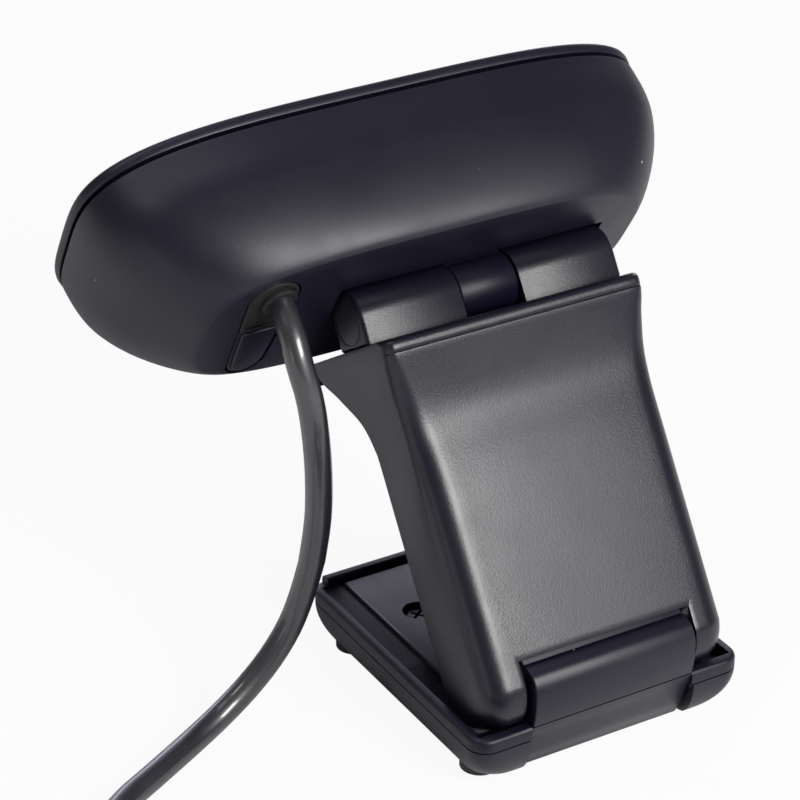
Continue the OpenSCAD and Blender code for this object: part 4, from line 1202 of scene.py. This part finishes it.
class WEBCAM_OT_arm(bpy.types.Operator):
    """Loft the arm's one-piece shell with its plate, lip, bead and lobes"""
    bl_idname = "webcam.arm"
    bl_label = "Clip Arm"

    def curve(self, points, steps):
        """A curve given by distances in front of the arm's back and heights from its top."""
        c = settings().clip
        return smooth_yz([(c.back - deep, c.length + up) for deep, up in points], steps)

    def side_profile(self):
        """The arm from the side, open behind where the loft shapes it."""
        c = settings().clip
        radius, top, lip, back = lobe_radius(), c.length, c.back - c.reach, c.back + 2.0
        foot = top - c.plate - c.lip
        start = 180.0 + math.degrees(math.acos((c.deep - c.back) / radius))
        outline = [(back, top - 0.1), (c.back - 0.6, top), (lip + 0.9, top), (lip + 0.4, top - 0.15),
                   (lip + 0.1, top - 0.45), (lip, top - 0.9), (lip, foot + 0.35), (lip + 0.35, foot),
                   (lip + 1.45, foot), (lip + 1.8, foot + 0.35), (lip + 1.8, top - c.plate)]
        outline += self.curve([(22.6, -c.plate), (21.7, -3.4), (18.5, -6.4), (15.0, -10.6),
                               (c.deep, -15.3)], 8)
        return outline + arc(radius, start, 270.0, 24) + [(back, -radius)]

    def hollow(self, arm, floor):
        """The room between the arm's sides and under the plate."""
        c = settings().clip
        front, half = c.back - c.reach - 10, c.width / 2 - c.wall
        curve = self.curve([(22.6, -c.plate), (19, -4), (14, -7.6), (11, -13.4), (c.hollow, -19.6)], 6)
        under = [(front, c.length - c.plate)] + curve + [(floor, -20.0), (front, -20.0)]
        combine(arm, prism("under", under, -half, half))

    def execute(self, context):
        c, f = settings().clip, settings().foot
        rows, radius = arm_rows(), lobe_radius()
        levels = sorted({round(row[0], 3) for row in rows}, reverse=True)
        levels += [-radius * math.sin(math.radians(a)) for a in range(5, 90, 5)] + [-radius * 0.9993]
        arm = loft("arm_shell", [arm_ring(z, rows) for z in levels])
        half = c.plate_width / 2 + 1
        combine(arm, prism("side", self.side_profile(), -half, half), "INTERSECT")
        floor = c.back - c.hollow
        self.hollow(arm, floor)
        notch = f.knuckle / 2 + f.knuckle_gap
        combine(arm, block("notch", (-notch, -20.0, -20.0), (notch, 20.0, 1.5)))
        drill(arm, "x", KNUCKLE_R + 0.5, -notch, notch, sides=72)
        drill(arm, "x", FOOT_PIN_R + PIN_PLAY, -c.width / 2 + 1.2, c.width / 2 - 1.2)
        room = c.tongue / 2 + c.play
        axis = (0.0, c.back - c.inset, c.length + c.rise)
        drill(arm, "x", c.barrel + 0.2, -room, room, axis, 72)
        for side in (-1, 1):
            drill(arm, "y", SCREW_R, floor - 1, floor + 5, (side * SCREW_AT[0], 0.0, SCREW_AT[1]), 24)
        bevel_where(arm, lambda p: near(p.z, c.length, 0.02) and p.y < c.back - 2.5, 0.45)
        round_edges(arm, 0.16, 2, 48)
        finish_piece(arm, "arm", "grained_black", "clip_frame", "arm_cover", "top_bead", smooth=28.0)
        return {"FINISHED"}


# ---- Foot ----
FOOT_SCREWS = [(12.5, -33.5), (-12.5, -33.5)]
NUT_AT = (0.0, -25.0, 0.0)
# The lower shell's wall, the radius of the rubber feet, and the play and wall of their wells
WALL, PAD_R, WELL_PLAY, WELL_WALL = 1.7, 2.04, 0.04, 0.86


def foot_ring(inset, corner, z):
    """An outline of the foot: a rectangle with round corners, rear edge at y = 0."""
    f = settings().foot
    ring = []
    for q, (right, rear) in enumerate(((1, 1), (-1, 1), (-1, -1), (1, -1))):
        for i in range(11):
            a = math.pi / 2 * (q + i / 10)
            ring.append((right * (f.width / 2 - inset - corner) + corner * math.cos(a),
                         -f.length / 2 + rear * (f.length / 2 - inset - corner) + corner * math.sin(a), z))
    return ring


def hinge_height():
    """Height of the foot hinge over the table."""
    return settings().foot.rim + settings().foot.rise


def pad_places():
    """Middles of the four rubber feet."""
    f = settings().foot
    return [(x * (f.width / 2 - 4.5), y, 0.0) for x in (-1, 1) for y in (-6.8, 6.4 - f.length)]


class WEBCAM_OT_foot(bpy.types.Operator):
    """Model the foot's rim, plateau, front wall and its lower shell"""
    bl_idname = "webcam.foot"
    bl_label = "Foot"

    def clearances(self, obj, play):
        """Room for the arm's lobes and for the knuckle."""
        f = settings().foot
        notch = f.knuckle / 2 + f.knuckle_gap - 0.45
        outer = settings().clip.width / 2 + f.side_gap
        for side in (-1, 1):
            ends = sorted((side * notch, side * outer))
            drill(obj, "x", lobe_radius() + f.lobe_gap, *ends, (0.0, -f.inset, hinge_height()), 72)
        half = f.knuckle / 2 + play
        combine(obj, block("knuckle_room", (-half, -f.inset - 6.8, -5.0), (half, 10.0, 30.0)))

    def plateau(self, half, y1):
        """The raised middle, with a chamfer and a finely rounded rim."""
        f = settings().foot
        top = f.rim + f.plateau
        obj = block("plateau", (-half, 3.1 - f.length, f.rim - 3.0), (half, y1, top))
        return bevel_where(obj, lambda p: near(p.z, top), 0.4, 3)

    def front_wall(self):
        """The front wall with round top edges."""
        f = settings().foot
        y0, y1, top = 0.3 - f.length, 2.1 - f.length, f.rim + 1.2
        outline = [(y0, f.rim - 1)] + arc(0.75, 180, 90, 6, (y0 + 0.75, top - 0.75))
        outline += arc(0.4, 90, 0, 4, (y1 - 0.4, top - 0.4)) + [(y1, f.rim - 1)]
        half = settings().clip.width / 2 + 0.1
        obj = prism("wall", outline, -half, half)
        return bevel_where(obj, lambda p: near(abs(p.x), half) and p.z > f.rim, 0.5, 3)

    def strips(self, obj, inner, y0, y1):
        """The lowered strips beside the raised middle, which slope down to the rim."""
        f = settings().foot
        strip, outer = f.rim - f.strip, settings().clip.width / 2 + f.side_gap
        deep = hinge_height() - lobe_radius() - f.lobe_gap
        section = [(y0, strip), (y1 - 8, strip), (y1 - 0.6, deep + 0.8), (-f.inset, deep), (-f.inset, 30.0),
                   (y0, 30.0)]
        for side in (-1, 1):
            cutter = prism("strip", section, *sorted((side * (inner + 0.02), side * outer)))
            for vertex in cutter.data.vertices:
                if near(vertex.co.z, strip) and abs(vertex.co.x) < inner + 0.1:
                    vertex.co.z = f.rim + 0.25
            bevel_where(cutter, lambda p: near(abs(p.x), outer) and p.z < f.rim - 0.1, 0.3, 3)
            combine(obj, cutter)

    def top(self):
        """The upper shell: rim, strips beside the plateau, plateau and front wall."""
        f, c = settings().foot, settings().clip
        rim, parting = f.rim, f.parting
        # Inset, change of the corner's radius and height of each outline
        rings = [(0.62, -0.3, rim), (0.32, -0.1, rim - 0.07), (0.1, 0, rim - 0.28), (0, 0, rim - 0.6),
                 (0, 0, parting + 0.16), (0.12, 0, parting + 0.05), (0.35, 0, parting + 0.03),
                 (0.35, 0, parting - 0.6), (1.8, 0, parting - 0.6), (1.8, 0, 5.0)]
        obj = loft("foot_top", [foot_ring(inset, f.corner + more, z) for inset, more, z in rings])
        half, y0, y1 = c.width / 2 - c.wall - 0.4, 2.1 - f.length, -f.inset - 7.0
        self.strips(obj, half, y0, y1)
        combine(obj, block("front_gap", (-half - 0.4, y0, rim - 1.2), (half + 0.4, y0 + 1.0, 30.0)))
        combine(obj, self.plateau(half, y1), "UNION")
        combine(obj, self.front_wall(), "UNION")
        self.clearances(obj, 0.1)
        for x, y in FOOT_SCREWS:
            drill(obj, "z", 2.3, rim - 1.3, rim + 10, (x, y, 0.0), 48)
        drill(obj, "z", 4.9, 0.0, 6.2, NUT_AT, 48)
        finish_piece(obj, "foot", "satin_black", "foot_cover", smooth=30)

    def bottom(self):
        """The lower shell with its rounded belly, wells for the feet and the thread."""
        f = settings().foot
        rings = [foot_ring(0.35, f.corner, f.parting), foot_ring(0.12, f.corner, f.parting - 0.03)]
        for k in range(13):
            # From the parting line, t = 1, down to the belly, t = 0
            t = 1.0 - max(k / 12.0, 0.012)
            inset = 4.0 * (1 - math.sqrt(max(0.0, 1 - (1 - t) ** 2)))
            rings.append(foot_ring(inset, f.corner + 0.9 * inset, f.belly + (f.parting - f.belly) * t))
        obj = loft("foot_bottom", rings)
        combine(obj, loft("cavity", [foot_ring(WALL, f.corner, f.parting + 1), foot_ring(WALL, f.corner, 4.6),
                                     foot_ring(4.2, f.corner + 3, f.belly + 1.4)]))
        play = f.knuckle_gap / 2
        self.clearances(obj, play)
        for place in pad_places():
            wall = PAD_R + WELL_WALL
            combine(obj, drum("well", "z", wall, f.belly + 0.05, f.belly + 3.0, place, 48), "UNION")
            drill(obj, "z", PAD_R + WELL_PLAY, -1.0, f.belly + 2.3, place, 48)
        drill(obj, "z", 4.3, -1.0, 9.0, NUT_AT, 64)
        front, low, high = -f.inset - 8.4, f.belly + 0.3, hinge_height() - lobe_radius() - 0.9
        cheek = [(front, low), (-3.4, low), (-1.9, f.belly + 2.0), (-1.9, high), (front, high)]
        for side in (-1, 1):
            ends = sorted((side * (f.knuckle / 2 + play), side * (f.knuckle / 2 + 2.0)))
            combine(obj, prism("cheek", cheek, *ends), "UNION")
        self.clearances(obj, play)
        finish_piece(obj, "foot", "satin_black", "foot_shell", smooth=30)

    def execute(self, context):
        self.top()
        self.bottom()
        return {"FINISHED"}


class WEBCAM_OT_knuckle(bpy.types.Operator):
    """Model the foot's knuckle above and below its seam"""
    bl_idname = "webcam.knuckle"
    bl_label = "Knuckle"

    def execute(self, context):
        f = settings().foot
        half, seam, floor = f.knuckle / 2, -f.rise, f.belly - hinge_height()
        back = smooth_yz([(7.62, seam + 0.03), (8.0, -3.2), (8.2, -1.6), (8.2, 0.4), (7.9, 1.8), (7.1, 3.0),
                          (6.2, 3.5), (5.2, 3.72), (4.4, 3.73)], 5)
        round_top = arc(KNUCKLE_R, 42, 180, 36) + [(-KNUCKLE_R, seam + 0.03)]
        upper = prism("knuckle_top", back + round_top, -half, half)
        round_edges(upper, 0.3, 3, 50)
        drill(upper, "x", FOOT_PIN_R, -half - 1, half + 1)
        finish_piece(upper, "knuckle", "satin_black", "knuckle_upper")
        back = smooth_yz([(7.6, seam - 0.05), (7.2, -6.0), (6.5, -7.7), (5.5, -10.7), (4.5, -12.6),
                          (4.0, floor)], 5)
        front = 0.8 - f.inset
        lower = prism("knuckle_base", back + [(front, floor), (front, seam - 0.05)], -half, half)
        round_edges(lower, 0.18, 2, 50)
        for side in (-1, 1):
            drill(lower, "z", 2.0, floor - 1, floor + 3, (8.0 * side, 0.0, 0.0))
        finish_piece(lower, "knuckle", "satin_black", "knuckle_lower")
        return {"FINISHED"}


class WEBCAM_OT_foot_fittings(bpy.types.Operator):
    """Model the rubber feet and the recessed cross-head screws"""
    bl_idname = "webcam.foot_fittings"
    bl_label = "Feet and Screws"

    def rubber_foot(self, place):
        """A low rubber button with a round rim."""
        foot = drum("rubber_foot", "z", PAD_R, 0.0, settings().foot.belly + 1.4, place, 40)
        bevel_where(foot, lambda p: p.z < 0.001, 0.35)
        finish_piece(foot, "foot", "black_rubber", "rubber_feet")

    def screw(self, x, y, number):
        """A pan head with a cross recess."""
        top = settings().foot.rim - 0.15
        head = drum("foot_screw_" + str(number), "z", 1.8, top - 0.9, top, (x, y, 0.0), 48)
        bevel_where(head, lambda p: near(p.z, top), 0.3, 3)
        for turn in (35.0, 125.0):
            slot = block("cross", (-1.15, -0.27, top - 0.6), (1.15, 0.27, top + 1.0))
            turned = Matrix.Rotation(math.radians(turn), 4, "Z")
            slot.data.transform(Matrix.Translation((x, y, 0.0)) @ turned)
            combine(head, slot)
        finish_piece(head, "foot", "steel", "foot_screws", look="screw_black")

    def execute(self, context):
        for place in pad_places():
            self.rubber_foot(place)
        for number, (x, y) in enumerate(FOOT_SCREWS):
            self.screw(x, y, number)
        return {"FINISHED"}


OPERATORS = (WEBCAM_OT_stage, WEBCAM_OT_cables, WEBCAM_OT_inner_parts, WEBCAM_OT_housing,
             WEBCAM_OT_front, WEBCAM_OT_lens, WEBCAM_OT_gland, WEBCAM_OT_tilt_hinge,
             WEBCAM_OT_arm, WEBCAM_OT_foot, WEBCAM_OT_knuckle, WEBCAM_OT_foot_fittings)


class WEBCAM_PT_panel(bpy.types.Panel):
    """Lists the steps that build the webcam"""
    bl_label = "Webcam"
    bl_idname = "WEBCAM_PT_panel"
    bl_space_type = "VIEW_3D"
    bl_region_type = "UI"
    bl_category = "Webcam"

    def draw(self, context):
        for operator in OPERATORS:
            self.layout.operator(operator.bl_idname)
        for title in ("head", "clip", "foot", "cable", "finish"):
            group = getattr(context.scene.webcam, title)
            box = self.layout.box()
            for key in group.__annotations__:
                box.prop(group, key)


GROUPS = (HeadSizes, ClipSizes, FootSizes, CableSizes, Finishes, WebcamSettings)


def register():
    """The classes and the scene's settings are made known."""
    for cls in GROUPS + OPERATORS + (WEBCAM_PT_panel,):
        bpy.utils.register_class(cls)
    bpy.types.Scene.webcam = PointerProperty(type=WebcamSettings)


def unregister():
    """The classes and the settings are taken out."""
    del bpy.types.Scene.webcam
    for cls in reversed(GROUPS + OPERATORS + (WEBCAM_PT_panel,)):
        bpy.utils.unregister_class(cls)


def main():
    """Each step in order, once the classes are registered."""
    register()
    for operator in OPERATORS:
        getattr(bpy.ops.webcam, operator.bl_idname.split(".")[1])()


if __name__ == "__main__":
    main()
